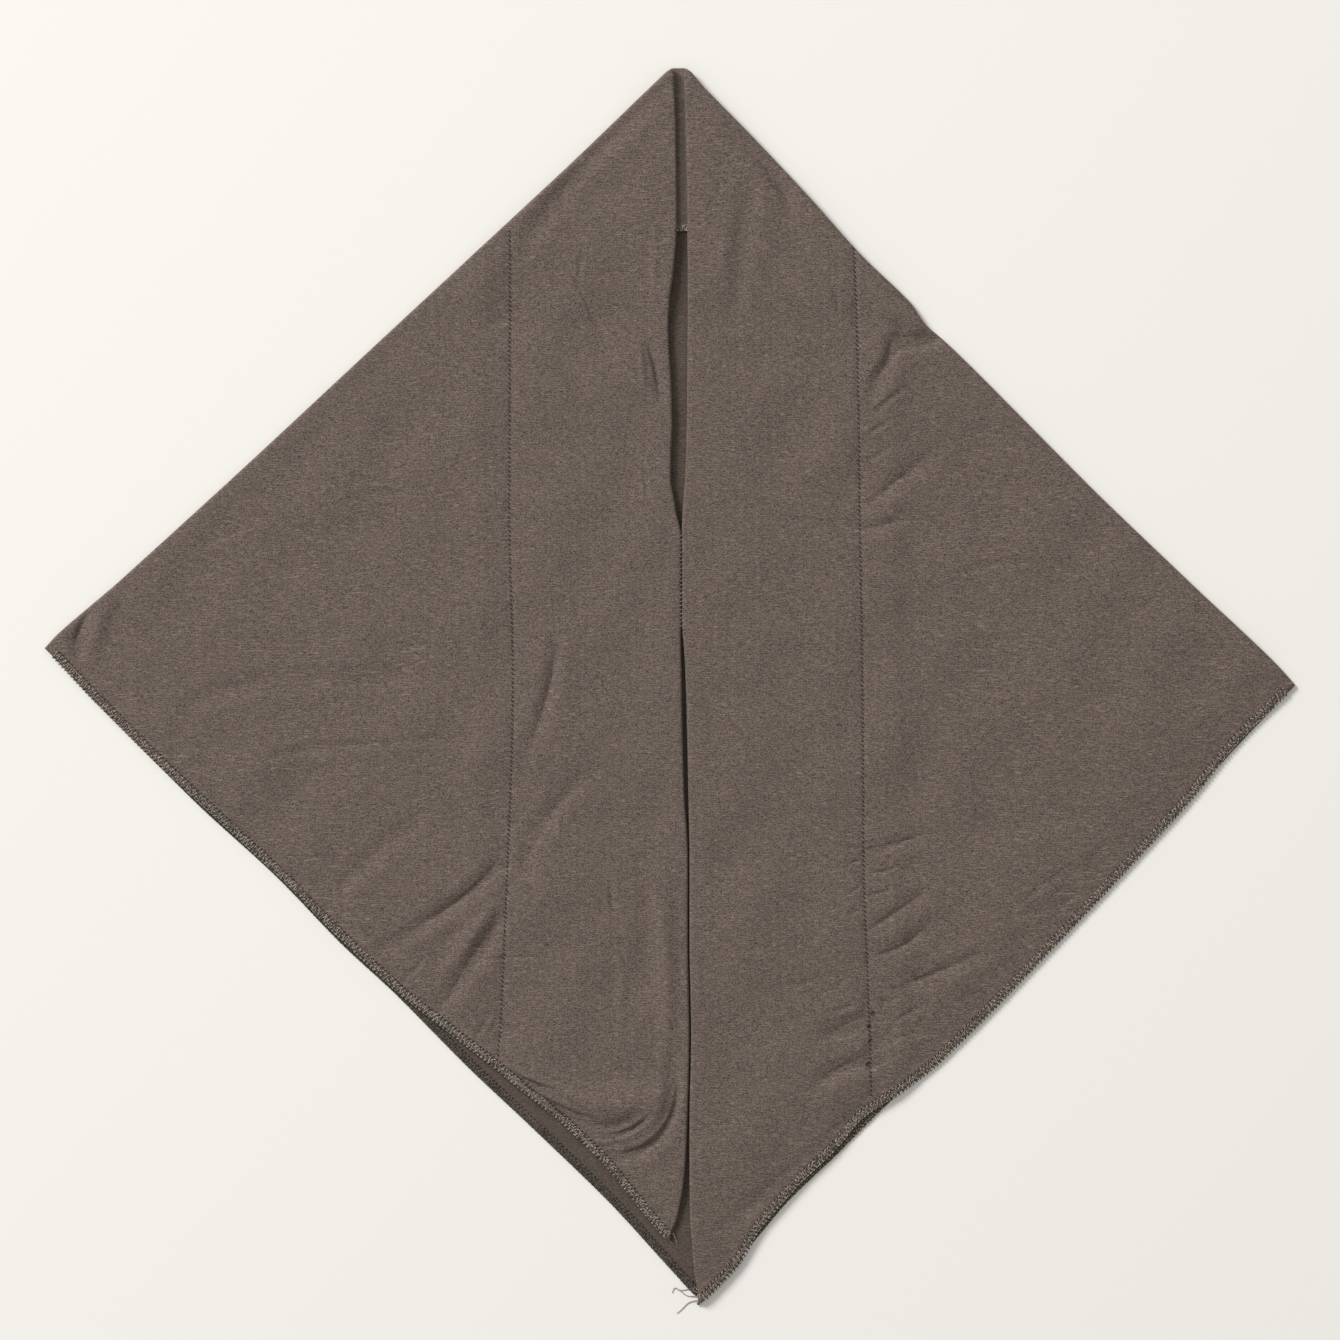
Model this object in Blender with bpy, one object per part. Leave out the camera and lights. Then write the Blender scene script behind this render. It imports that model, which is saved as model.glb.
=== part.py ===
"""Slip-on jersey headscarf, laid flat and folded to a diamond.

One right-angled triangle of jersey is folded so that the two halves of its long side meet at the
centre front. The back lies on the surface and the two fronts lie on the back. The long side is
turned under as a wide facing, which has one stretch across the crown and one below each front.
+X is the laid scarf's right, +Y its crown and +Z up, and the scarf rests on z = 0.
Plan tables are in millimetres from the middle of the diamond, and everything else is in metres.
"""

import math
from collections import namedtuple

import bmesh
import bpy
import numpy as np

MM = 0.001

# Cloth and the clearances between its layers
WALL = 1.0 * MM
GAP = 0.3 * MM
LAYER = WALL + GAP
LOFT = 1.3 * MM

# How far the two kinds of folded edge round out, and how far inside them other layers keep
FOLD_REACH = 2.0 * MM
CENTRE_REACH = 1.3 * MM
LIP_STEPS = 5
FOLD_INSET = FOLD_REACH + 2.0 * GAP
CENTRE_INSET = CENTRE_REACH + 9.0 * GAP

# A front's loft: low at its hem and stitches and full beyond them, with extra along its folds
HEM_LOFT = 0.25
STITCH_LOFT = 0.45
FOLD_EXTRA_LOFT = 0.4
HEM_LOFT_WIDTH = 30.0 * MM
STITCH_LOFT_WIDTH = 22.0 * MM
FOLD_LOFT_WIDTH = 24.0 * MM
LOWEST_SOFTNESS = 0.5 * MM

# Where a front steps up onto its facing, past the stitches, and up onto the crown's facing
FACING_STEP = (16.0 * MM, 34.0 * MM)
CROWN_STEP = (34.0 * MM, 60.0 * MM)

# Plan corners in millimetres
CROWN_LEFT = (1.2, 370.0)
CROWN_RIGHT = (9.6, 370.0)
CROWN_MIDDLE = (5.4, 369.6)
LEFT_CORNER = (-375.0, 22.8)
RIGHT_CORNER = (375.0, 0.6)
BACK_TIP = (15.6, -366.0)
FRONT_LEFT_TIP = (0.0, -332.0)
FRONT_RIGHT_TIP = (17.4, -370.0)
MIDDLE = (6.0, 0.0)
CROWN_TONGUE = 2.8
FACING_CROWN_EDGE = 273.0
HEM_TO_FACING = 4.0

# Mesh fineness: cells along each side of a piece
FRONT_CELLS = 32
BACK_CELLS = 13
FACING_CELLS = (5, 22)
CROWN_CELLS = (8, 7)
CREASE_REFINE = 1.3
CREASE_STEPS = 8

# A layer below keeps inside the dents of the edge above it over these stretches of the edge
DENT_SHARES = (-0.05, -0.025, 0.0, 0.025, 0.05)
CENTRE_SHIFTS_MM = (-16.0, -8.0, 0.0, 8.0, 16.0)

# Cloth colours
RIGHT_SIDE = (0.141, 0.107, 0.091)
WRONG_SIDE = (0.076, 0.056, 0.045)
FACING_SIDE = (0.100, 0.078, 0.066)

# How far each edge lies outside the straight line between its corners
Bow = namedtuple("Bow", "share out_mm")

LEFT_FOLD = [
    Bow(0.00, 0.0), Bow(0.02, 0.8), Bow(0.12, -1.0), Bow(0.32, -1.6),
    Bow(0.58, -1.1), Bow(0.80, -1.2), Bow(1.00, 0.0),
]
RIGHT_FOLD = [
    Bow(0.00, 0.0), Bow(0.03, 0.7), Bow(0.17, -1.7), Bow(0.36, -4.0), Bow(0.50, -4.0),
    Bow(0.57, -4.7), Bow(0.595, -5.8), Bow(0.63, -3.0), Bow(0.70, -4.1), Bow(0.80, -1.9),
    Bow(0.90, -0.9), Bow(0.97, -1.0), Bow(1.00, 0.0),
]
LEFT_HEM = [
    Bow(0.00, 0.0), Bow(0.08, 1.4), Bow(0.22, 1.6), Bow(0.36, -1.1), Bow(0.45, 0.0),
    Bow(0.54, -1.6), Bow(0.64, -1.1), Bow(0.74, -2.5), Bow(0.85, -3.5), Bow(0.96, -0.9),
    Bow(1.00, 0.0),
]
RIGHT_HEM = [
    Bow(0.00, 0.0), Bow(0.12, 1.0), Bow(0.22, 3.4), Bow(0.42, 4.9), Bow(0.52, 5.2),
    Bow(0.62, 4.0), Bow(0.68, 1.2), Bow(0.76, 0.8), Bow(0.84, -0.6), Bow(0.92, 1.8),
    Bow(1.00, 0.0),
]
FRONT_LEFT_HEM = [
    Bow(0.00, 0.0), Bow(0.08, 2.0), Bow(0.22, 3.6), Bow(0.38, 2.8), Bow(0.48, 4.6),
    Bow(0.57, 4.2), Bow(0.63, 1.5), Bow(0.70, -2.2), Bow(0.76, -4.7), Bow(0.82, -7.0),
    Bow(0.87, -7.0), Bow(0.92, -4.5), Bow(0.96, -1.8), Bow(1.00, 0.0),
]
FRONT_RIGHT_HEM = [
    Bow(0.00, 0.0), Bow(0.08, -1.0), Bow(0.20, 3.0), Bow(0.35, 4.3), Bow(0.50, 4.6),
    Bow(0.60, 3.4), Bow(0.66, -1.0), Bow(0.72, -7.0), Bow(0.76, -5.6), Bow(0.82, -6.8),
    Bow(0.88, -5.8), Bow(0.95, 0.5), Bow(1.00, 0.0),
]

# Where the two centre folds run, from the fronts' tips up to the crown
CentreRow = namedtuple("CentreRow", "up_mm left_mm right_mm")

CENTRE_FOLDS = [
    CentreRow(-370.0, 0.0, 17.4), CentreRow(-350.0, 0.0, 14.4), CentreRow(-332.0, 0.0, 13.0),
    CentreRow(-318.0, 4.4, 12.0), CentreRow(-290.0, 8.4, 11.6), CentreRow(-260.0, 10.0, 11.6),
    CentreRow(-210.0, 11.2, 12.6), CentreRow(-150.0, 10.3, 11.6), CentreRow(-104.0, 10.4, 11.6),
    CentreRow(-60.0, 8.2, 10.9), CentreRow(-20.0, 7.2, 10.1), CentreRow(10.0, 6.8, 9.2),
    CentreRow(28.0, 6.4, 8.0), CentreRow(35.0, 6.6, 7.2), CentreRow(91.0, 6.6, 7.2),
    CentreRow(103.0, 3.6, 7.7), CentreRow(124.0, -0.3, 9.0), CentreRow(160.0, 0.1, 10.3),
    CentreRow(200.0, -1.3, 10.8), CentreRow(232.0, -1.4, 11.2), CentreRow(248.0, 0.9, 11.2),
    CentreRow(280.0, 3.4, 11.2), CentreRow(335.0, 2.6, 10.6), CentreRow(370.0, 1.2, 9.6),
]

# Where the facing is sewn down below each front
StitchRow = namedtuple("StitchRow", "up_mm left_mm right_mm")

STITCH_LINES = [
    StitchRow(-250.0, -104.4, 120.4), StitchRow(-190.0, -101.0, 118.8),
    StitchRow(-100.0, -97.2, 115.8), StitchRow(0.0, -94.2, 115.2), StitchRow(110.0, -96.4, 113.4),
    StitchRow(200.0, -96.0, 112.2), StitchRow(285.0, -96.0, 109.5),
]

# The largest folds of the fronts: a line through three places, its half width and how far it
# rises (or sinks, where negative) from the cloth round it
Crease = namedtuple("Crease", "start through end half_width_mm rise_mm")

LEFT_CREASES = [
    Crease((-99, -101), (-120, -124), (-171, -157), 6.0, -2.2),
    Crease((-105, -131), (-120, -152), (-135, -173), 6.5, 2.0),
    Crease((-102, -139), (-115, -161), (-136, -191), 6.5, -2.4),
    Crease((-144, -76), (-180, -103), (-198, -125), 6.5, -1.4),
    Crease((-69, 28), (-72, -2), (-85, -41), 6.0, -1.8),
    Crease((-51, -53), (-78, -85), (-87, -110), 7.0, -1.8),
    Crease((1, -224), (-5, -268), (-36, -283), 6.0, -2.4),
    Crease((-18, -256), (-39, -266), (-66, -256), 6.0, -2.4),
    Crease((-42, -259), (-62, -250), (-99, -226), 6.0, -1.3),
    Crease((-4, -128), (-2, -176), (-3, -224), 6.0, 1.6),
    Crease((-15, -98), (-15, -143), (-15, -188), 7.0, -1.1),
    Crease((-347, 43), (-354, 28), (-353, 15), 7.0, -1.6),
    Crease((-336, 52), (-343, 37), (-347, 18), 7.0, 1.6),
    Crease((-9, 353), (-57, 305), (-90, 256), 8.0, -1.3),
    Crease((-13, 203), (-8, 185), (-6, 172), 5.0, -1.4),
    Crease((-294, -35), (-261, -1), (-132, 4), 8.0, -1.1),
]
RIGHT_CREASES = [
    Crease((36, 328), (63, 304), (72, 283), 7.0, -1.6),
    Crease((48, 301), (43, 262), (39, 220), 8.0, -1.4),
    Crease((139, 218), (151, 212), (164, 210), 8.0, -2.6),
    Crease((137, 210), (131, 194), (121, 176), 6.0, -2.2),
    Crease((165, 145), (138, 124), (117, 107), 7.0, -1.4),
    Crease((99, 97), (123, 95), (141, 103), 6.5, -1.2),
    Crease((207, 152), (294, 70), (357, 13), 9.0, -0.9),
    Crease((119, -98), (135, -95), (155, -88), 5.0, -1.6),
    Crease((119, -146), (135, -136), (156, -121), 5.5, -1.8),
    Crease((122, -162), (141, -155), (156, -143), 5.5, -1.8),
    Crease((136, -181), (165, -170), (188, -160), 6.0, -1.9),
    Crease((90, -209), (108, -205), (126, -194), 6.5, -2.3),
    Crease((87, -239), (108, -228), (127, -224), 6.5, -2.3),
    Crease((33, -322), (78, -289), (123, -247), 6.5, -1.4),
]


def smooth_value(rows, at, column):
    """Value of a table's column at a place between its rows, on a smooth line with no overshoot."""
    places = [row[0] for row in rows]
    values = [row[column] for row in rows]
    at = min(max(at, places[0]), places[-1])
    low = min(int(np.searchsorted(places, at, side="right")) - 1, len(rows) - 2)
    grades = [
        (values[k + 1] - values[k]) / (places[k + 1] - places[k]) for k in range(len(rows) - 1)
    ]

    def slope(k):
        if k in (0, len(rows) - 1) or grades[k - 1] * grades[k] <= 0.0:
            return 0.0
        return 2.0 * grades[k - 1] * grades[k] / (grades[k - 1] + grades[k])

    step = places[low + 1] - places[low]
    q = (at - places[low]) / step
    start_bend = slope(low) * step
    end_bend = slope(low + 1) * step
    rise = values[low + 1] - values[low]
    return (
        values[low]
        + q * start_bend
        + q * q * (3.0 * rise - 2.0 * start_bend - end_bend)
        + q * q * q * (start_bend + end_bend - 2.0 * rise)
    )


def ease(value, low, high):
    """0 below low, 1 above high and a soft step between."""
    q = min(max((value - low) / (high - low), 0.0), 1.0)
    return q * q * (3.0 - 2.0 * q)


def crossing(rising, wanted, low, high):
    """Place between low and high at which a rising function passes a wanted value."""
    for _ in range(30):
        middle = 0.5 * (low + high)
        if rising(middle) < wanted:
            low = middle
        else:
            high = middle
    return 0.5 * (low + high)


def plan(point_mm):
    """A place of the plan in metres."""
    return np.array(point_mm, float) * MM


def outward(start_mm, end_mm, away_from_mm):
    """Level unit direction square to an edge, pointing away from an inner place."""
    along = plan(end_mm) - plan(start_mm)
    normal = np.array([along[1], -along[0]]) / np.linalg.norm(along)
    inner = plan(away_from_mm) - plan(start_mm)
    return -normal if normal @ inner > 0.0 else normal


def edge_point(start_mm, end_mm, bows, share, inside=False):
    """Point of a bowed edge at a share of its length, or on a line that stays inside its dents."""
    straight = plan(start_mm) * (1.0 - share) + plan(end_mm) * share
    nearby = DENT_SHARES if inside else (0.0,)
    bow = min(smooth_value(bows, share + shift, 1) for shift in nearby)
    return straight + outward(start_mm, end_mm, MIDDLE) * bow * MM


def centre_fold(side, up):
    """Place across the scarf of the left or right centre fold at a height in the plan."""
    return smooth_value(CENTRE_FOLDS, up / MM, 1 if side < 0 else 2) * MM


def crown_layers(up):
    """1 where the crown's facing lies below, 0 clear of it and a soft step between."""
    below_edge = FACING_CROWN_EDGE * MM - up
    return 1.0 - ease(below_edge, *CROWN_STEP)


def stitch_line(side, up):
    """Place across the scarf of the left or right facing stitches at a height in the plan."""
    return smooth_value(STITCH_LINES, up / MM, 1 if side < 0 else 2) * MM


class FrontShape:
    """Plan and height of one front. side is -1 for the left front and 1 for the right front."""

    FADE = 4

    def __init__(self, side, crown, corner, tip, fold_bows, hem_bows, creases):
        self.side = side
        self.crown, self.corner, self.tip = plan(crown), plan(corner), plan(tip)
        self.fold_bows, self.hem_bows, self.creases = fold_bows, hem_bows, creases
        self.fold_out = outward(corner, crown, tip)
        self.hem_out = outward(corner, tip, crown)
        self.centre_out = np.array([-side, 0.0])
        self.fold_length = np.linalg.norm(self.crown - self.corner)
        self.hem_length = np.linalg.norm(self.tip - self.corner)
        self.half_width = abs(self.corner[0])

    def place(self, up_fold, down_hem):
        """Plan point at shares of the fold and the hem, both measured from the side corner."""
        inward = 1.0 - up_fold - down_hem
        point = self.corner + up_fold * (self.crown - self.corner)
        point = point + down_hem * (self.tip - self.corner)
        tiny = 1e-9
        fold_bow = smooth_value(self.fold_bows, up_fold / (up_fold + inward + tiny), 1) * MM
        hem_bow = smooth_value(self.hem_bows, down_hem / (down_hem + inward + tiny), 1) * MM
        near_fold = (1.0 - down_hem) ** self.FADE
        near_hem = (1.0 - up_fold) ** self.FADE
        near_centre = (1.0 - inward) ** self.FADE
        share = up_fold / (up_fold + down_hem + tiny)
        centre_up = self.tip[1] + share * (self.crown[1] - self.tip[1])
        straight = self.tip[0] + share * (self.crown[0] - self.tip[0])
        centre_bow = centre_fold(self.side, centre_up) - straight
        point = point + self.fold_out * (fold_bow - FOLD_REACH) * near_fold
        point = point + self.hem_out * hem_bow * near_hem
        return point + np.array([centre_bow, 0.0]) * near_centre - (
            self.centre_out * CENTRE_REACH * near_centre
        )

    def lowest_top(self, point):
        """Lowest that the front's outer face can lie on the back and the facings."""
        past_stitch = self.side * (point[0] - stitch_line(self.side, point[1]))
        on_facing = 1.0 - ease(past_stitch, *FACING_STEP)
        return LAYER + WALL + LAYER * on_facing * (1.0 + crown_layers(point[1]))

    def top(self, point, up_fold, down_hem):
        """Height of the front's outer face."""
        inward = max(1.0 - up_fold - down_hem, 0.0)
        from_hem = up_fold * self.hem_length
        past_stitch = abs(stitch_line(self.side, point[1]) - point[0])
        loft = LOFT * (HEM_LOFT + (1.0 - HEM_LOFT) * ease(from_hem, 0.0, HEM_LOFT_WIDTH))
        loft *= STITCH_LOFT + (1.0 - STITCH_LOFT) * ease(past_stitch, 0.0, STITCH_LOFT_WIDTH)
        from_folds = min(down_hem * self.fold_length, inward * self.half_width)
        loft += FOLD_EXTRA_LOFT * LOFT * (1.0 - ease(from_folds, 0.0, FOLD_LOFT_WIDTH))
        above = loft + crease_height(self.creases, point)
        return self.lowest_top(point) + 0.5 * (above + math.hypot(above, LOWEST_SOFTNESS))

    @staticmethod
    def lip_bottom(point, up_fold, down_hem):
        """Height at which a folded edge ends below: the surface, or what lies under the centre."""
        if down_hem > 1e-6 or up_fold > 1.0 - 1e-6:
            return LAYER * (1.0 + crown_layers(point[1]))
        return 0.0

    def lip_direction(self, up_fold, down_hem):
        """Level vector by which a folded edge rounds out past the front's flat part."""
        at_crown = up_fold > 1.0 - 1e-6
        if at_crown:
            return self.fold_out * FOLD_REACH + self.centre_out * CENTRE_REACH
        if down_hem > 1e-6:
            return self.centre_out * CENTRE_REACH
        return self.fold_out * FOLD_REACH


def crease_points(crease):
    """Places along a crease's curve, and the share of its length at each."""
    start, end = plan(crease.start), plan(crease.end)
    pull = 2.0 * plan(crease.through) - 0.5 * (start + end)
    shares = [k / CREASE_STEPS for k in range(CREASE_STEPS + 1)]
    return [
        ((1 - q) ** 2 * start + 2 * q * (1 - q) * pull + q ** 2 * end, q) for q in shares
    ]


def near_crease(crease, point):
    """Distance from a crease's line, and the share along it."""
    curve = crease_points(crease)
    best, best_share = 1.0, 0.0
    for (first, first_share), (second, second_share) in zip(curve, curve[1:]):
        run = second - first
        q = min(max((point - first) @ run / (run @ run), 0.0), 1.0)
        distance = np.linalg.norm(point - first - q * run)
        if distance < best:
            best, best_share = distance, first_share + q * (second_share - first_share)
    return best, best_share


def crease_height(creases, point):
    """Rise of the cloth from all creases at a place: each has a crest and two softer sides."""
    height = 0.0
    for crease in creases:
        reach = 4.0 * crease.half_width_mm * MM
        if np.linalg.norm(point - plan(crease.through)) > reach + np.linalg.norm(
            plan(crease.end) - plan(crease.start)
        ):
            continue
        distance, share = near_crease(crease, point)
        across = distance / (crease.half_width_mm * MM)
        fade = math.sin(math.pi * (0.12 + 0.76 * share))
        height += crease.rise_mm * MM * fade * (1.0 - 0.9 * across ** 2) * math.exp(-across ** 2)
    return height


def cloth_material(name, colour):
    """Matt jersey."""
    material = bpy.data.materials.new(name)
    material.use_nodes = True
    shader = material.node_tree.nodes["Principled BSDF"]
    shader.inputs["Base Color"].default_value = (*colour, 1.0)
    shader.inputs["Roughness"].default_value = 0.9
    shader.inputs["Metallic"].default_value = 0.0
    material.diffuse_color = (*colour, 1.0)
    return material


def cloth_object(name, bm, material):
    """Object from an outer face, with the cloth's wall added inwards."""
    bmesh.ops.recalc_face_normals(bm, faces=bm.faces)
    if sum(face.normal.z * face.calc_area() for face in bm.faces) < 0.0:
        bmesh.ops.reverse_faces(bm, faces=bm.faces)
    mesh = bpy.data.meshes.new(name)
    bm.to_mesh(mesh)
    bm.free()
    mesh.materials.append(material)
    mesh.shade_smooth()
    mesh.set_sharp_from_angle(angle=math.radians(50))
    piece = bpy.data.objects.new(name, mesh)
    bpy.context.scene.collection.objects.link(piece)
    wall = piece.modifiers.new("wall", "SOLIDIFY")
    wall.thickness = WALL
    wall.offset = -1.0
    wall.use_even_offset = True
    return piece


def front_lattice(shape):
    """Flat triangle of cells in shares of the fold and the hem, finer near the creases."""
    bm = bmesh.new()
    cells = FRONT_CELLS
    grid = {
        (i, j): bm.verts.new((i / cells, j / cells, 0.0))
        for i in range(cells + 1)
        for j in range(cells + 1 - i)
    }
    for i in range(cells):
        for j in range(cells - i):
            if i + j < cells - 1:
                bm.faces.new((grid[i, j], grid[i + 1, j], grid[i + 1, j + 1], grid[i, j + 1]))
            else:
                bm.faces.new((grid[i, j], grid[i + 1, j], grid[i, j + 1]))
    close = []
    for edge in bm.edges:
        middle = (edge.verts[0].co + edge.verts[1].co) / 2.0
        point = shape.place(middle.x, middle.y)
        for crease in shape.creases:
            if near_crease(crease, point)[0] < CREASE_REFINE * crease.half_width_mm * MM:
                close.append(edge)
                break
    bmesh.ops.subdivide_edges(bm, edges=close, cuts=1, use_grid_fill=True)
    bmesh.ops.triangulate(bm, faces=bm.faces)
    return bm


def folded_boundary(bm):
    """Vertices along the fold to the crown and on down the centre fold, in order."""
    on_fold = [v for v in bm.verts if v.co.y < 1e-6]
    on_centre = [v for v in bm.verts if v.co.x + v.co.y > 1.0 - 1e-6 and v.co.y > 1e-6]
    return sorted(on_fold, key=lambda v: v.co.x) + sorted(on_centre, key=lambda v: v.co.y)


def make_front(name, shape, material):
    """One front: a creased panel whose fold and centre edge round over and turn under."""
    bm = front_lattice(shape)
    boundary = folded_boundary(bm)
    shares = {v: (v.co.x, v.co.y) for v in bm.verts}
    for vertex, (up_fold, down_hem) in shares.items():
        point = shape.place(up_fold, down_hem)
        vertex.co = (point[0], point[1], shape.top(point, up_fold, down_hem))
    ring = boundary
    for step in range(1, LIP_STEPS + 1):
        angle = math.pi * step / LIP_STEPS
        next_ring = []
        for vertex in boundary:
            up_fold, down_hem = shares[vertex]
            point = np.array(vertex.co[:2])
            bottom = shape.lip_bottom(point, up_fold, down_hem)
            point = point + shape.lip_direction(up_fold, down_hem) * math.sin(angle)
            drop = (vertex.co.z - bottom) * 0.5 * (1.0 - math.cos(angle))
            next_ring.append(bm.verts.new((point[0], point[1], vertex.co.z - drop)))
        for k in range(len(ring) - 1):
            bm.faces.new((ring[k], ring[k + 1], next_ring[k + 1], next_ring[k]))
        ring = next_ring
    bmesh.ops.triangulate(bm, faces=bm.faces)
    return cloth_object(name, bm, material)


def bordered_sheet(name, material, across, along, edges, level):
    """Sheet between four edges (left, right, bottom, top), each a function of a share."""
    left, right, bottom, top = edges
    bm = bmesh.new()
    rows = []
    for j in range(along + 1):
        v = j / along
        row = []
        for i in range(across + 1):
            u = i / across
            point = (1 - u) * left(v) + u * right(v) + (1 - v) * bottom(u) + v * top(u)
            point = point - (1 - u) * (1 - v) * left(0.0) - u * (1 - v) * right(0.0)
            point = point - (1 - u) * v * left(1.0) - u * v * right(1.0)
            row.append(bm.verts.new((point[0], point[1], level(point) + WALL)))
        rows.append(row)
    for low, high in zip(rows, rows[1:]):
        for i in range(across):
            bm.faces.new((low[i], low[i + 1], high[i + 1], high[i]))
    bmesh.ops.triangulate(bm, faces=bm.faces)
    return cloth_object(name, bm, material)


def inset_fold(side, share):
    """Point on a fold's inner line, from the side corner up to the crown."""
    corner, bows = (LEFT_CORNER, LEFT_FOLD) if side < 0 else (RIGHT_CORNER, RIGHT_FOLD)
    end = CROWN_LEFT if side < 0 else CROWN_RIGHT
    inner = outward(corner, end, MIDDLE) * FOLD_INSET
    point = edge_point(corner, end, bows, share, inside=True) - inner
    return point * (1.0 - share ** 8) + plan(CROWN_MIDDLE) * share ** 8


def make_back(material):
    """The back half, flat on the surface, with its hems out to the tip."""
    def left_hem(share):
        inner = outward(LEFT_CORNER, CROWN_LEFT, MIDDLE) * FOLD_INSET * (1.0 - share)
        return edge_point(LEFT_CORNER, BACK_TIP, LEFT_HEM, share) - inner

    def right_hem(share):
        inner = outward(RIGHT_CORNER, CROWN_RIGHT, MIDDLE) * FOLD_INSET * (1.0 - share)
        return edge_point(RIGHT_CORNER, BACK_TIP, RIGHT_HEM, share) - inner

    edges = (
        lambda v: left_hem(1.0 - v),
        lambda v: inset_fold(1, v),
        lambda u: right_hem(1.0 - u),
        lambda u: inset_fold(-1, u),
    )
    return bordered_sheet("back_panel", material, BACK_CELLS, BACK_CELLS, edges, lambda p: 0.0)


def make_crown_facing(material):
    """The facing across the crown, between both folds, its own lower edge and the crown."""
    lower, upper = FACING_CROWN_EDGE * MM, CROWN_MIDDLE[1] * MM - GAP
    lift = 4.0 * GAP
    across, along = CROWN_CELLS

    def side_edge(side, v):
        low = crossing(lambda share: inset_fold(side, share)[1], lower + lift, 0.0, 1.0)
        high = crossing(lambda share: inset_fold(side, share)[1], upper, 0.0, 1.0)
        widen = np.array([side * CROWN_TONGUE * MM * v ** 4, -lift * (1.0 - v)])
        return inset_fold(side, low + v * (high - low)) + widen

    left_low, right_low = side_edge(-1, 0.0), side_edge(1, 0.0)
    left_high, right_high = side_edge(-1, 1.0), side_edge(1, 1.0)
    edges = (
        lambda v: side_edge(-1, v),
        lambda v: side_edge(1, v),
        lambda u: (1 - u) * left_low + u * right_low,
        lambda u: (1 - u) * left_high + u * right_high,
    )
    return bordered_sheet("facing_crown", material, across, along, edges, lambda p: LAYER)


def make_side_facing(name, shape, material):
    """The facing below a front, from its centre fold to its stitch line."""
    side = shape.side
    corner, tip = shape.corner / MM, shape.tip / MM

    def centre_line(up):
        nearby = [centre_fold(side, up + shift * MM) for shift in CENTRE_SHIFTS_MM]
        return side * (max(side * x for x in nearby) + CENTRE_INSET)

    def hem_line(share):
        return edge_point(corner, tip, shape.hem_bows, share) - shape.hem_out * HEM_TO_FACING * MM

    def fold_line(share):
        return inset_fold(side, share)

    def span(line):
        """Shares at which a line that nears the centre passes the stitches and the centre line."""
        stitched = crossing(
            lambda q: -side * (line(q)[0] - stitch_line(side, line(q)[1])), 0.0, 0.5, 1.0
        )
        centred = crossing(lambda q: -side * (line(q)[0] - centre_line(line(q)[1])), 0.0, 0.5, 1.0)
        return stitched, centred

    hem_outer, hem_inner = span(hem_line)
    fold_outer, fold_inner = span(fold_line)

    def up_between(low, high, v):
        return low[1] + v * (high[1] - low[1])

    def inner(v):
        up = up_between(hem_line(hem_inner), fold_line(fold_inner), v)
        return np.array([centre_line(up), up])

    def outer(v):
        up = up_between(hem_line(hem_outer), fold_line(fold_outer), v)
        return np.array([stitch_line(side, up), up])

    edges = (
        inner,
        outer,
        lambda u: hem_line(hem_inner + u * (hem_outer - hem_inner)),
        lambda u: fold_line(fold_inner + u * (fold_outer - fold_inner)),
    )
    across, along = FACING_CELLS
    return bordered_sheet(
        name, material, across, along, edges, lambda p: LAYER * (1.0 + crown_layers(p[1]))
    )


def build():
    for old in list(bpy.data.objects):
        bpy.data.objects.remove(old, do_unlink=True)
    fronts = {
        "front_left": FrontShape(
            -1, CROWN_LEFT, LEFT_CORNER, FRONT_LEFT_TIP, LEFT_FOLD, FRONT_LEFT_HEM, LEFT_CREASES
        ),
        "front_right": FrontShape(
            1, CROWN_RIGHT, RIGHT_CORNER, FRONT_RIGHT_TIP, RIGHT_FOLD, FRONT_RIGHT_HEM,
            RIGHT_CREASES,
        ),
    }
    for name, shape in fronts.items():
        make_front(name, shape, cloth_material(name + "_jersey", RIGHT_SIDE))
    make_back(cloth_material("back_panel_jersey", WRONG_SIDE))
    make_crown_facing(cloth_material("facing_crown_jersey", FACING_SIDE))
    for name, front in (("facing_left", "front_left"), ("facing_right", "front_right")):
        make_side_facing(name, fronts[front], cloth_material(name + "_jersey", FACING_SIDE))


build()
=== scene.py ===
# %% [markdown]
# A slip-on jersey headscarf, laid flat and folded to a diamond. The scarf is one right-angled
# triangle of thin slubbed jersey. Its long side is turned under as a wide facing, and the two
# halves of that side meet at the centre front, so the back lies on the ground and two fronts lie
# on the back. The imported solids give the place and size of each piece, and this lesson dresses
# them: finer cloth with its creases, the knit, the sewing, the ground and the light.

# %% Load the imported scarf
import math

import bmesh
import bpy
import numpy as np
from mathutils import Matrix


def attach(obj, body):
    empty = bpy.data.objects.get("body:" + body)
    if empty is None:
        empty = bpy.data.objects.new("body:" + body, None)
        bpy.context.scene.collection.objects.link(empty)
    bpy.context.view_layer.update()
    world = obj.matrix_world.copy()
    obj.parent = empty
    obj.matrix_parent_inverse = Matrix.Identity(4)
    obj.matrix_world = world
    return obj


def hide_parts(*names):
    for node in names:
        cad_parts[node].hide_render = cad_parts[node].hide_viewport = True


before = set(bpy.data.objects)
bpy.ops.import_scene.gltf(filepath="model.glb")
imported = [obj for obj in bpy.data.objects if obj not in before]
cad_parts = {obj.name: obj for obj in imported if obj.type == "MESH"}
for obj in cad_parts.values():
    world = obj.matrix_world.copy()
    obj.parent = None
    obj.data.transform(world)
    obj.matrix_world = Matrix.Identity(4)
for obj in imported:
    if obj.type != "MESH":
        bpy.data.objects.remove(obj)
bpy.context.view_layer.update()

# %% [markdown]
# Jersey of this weight is about half a millimetre thick and looks a little thicker where it lies
# soft. The solids have walls of 1 mm with gaps of 0.3 mm between layers. The cloth here keeps
# their outer faces and takes a thinner wall below them, so every layer stays in its solid's room.

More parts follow.
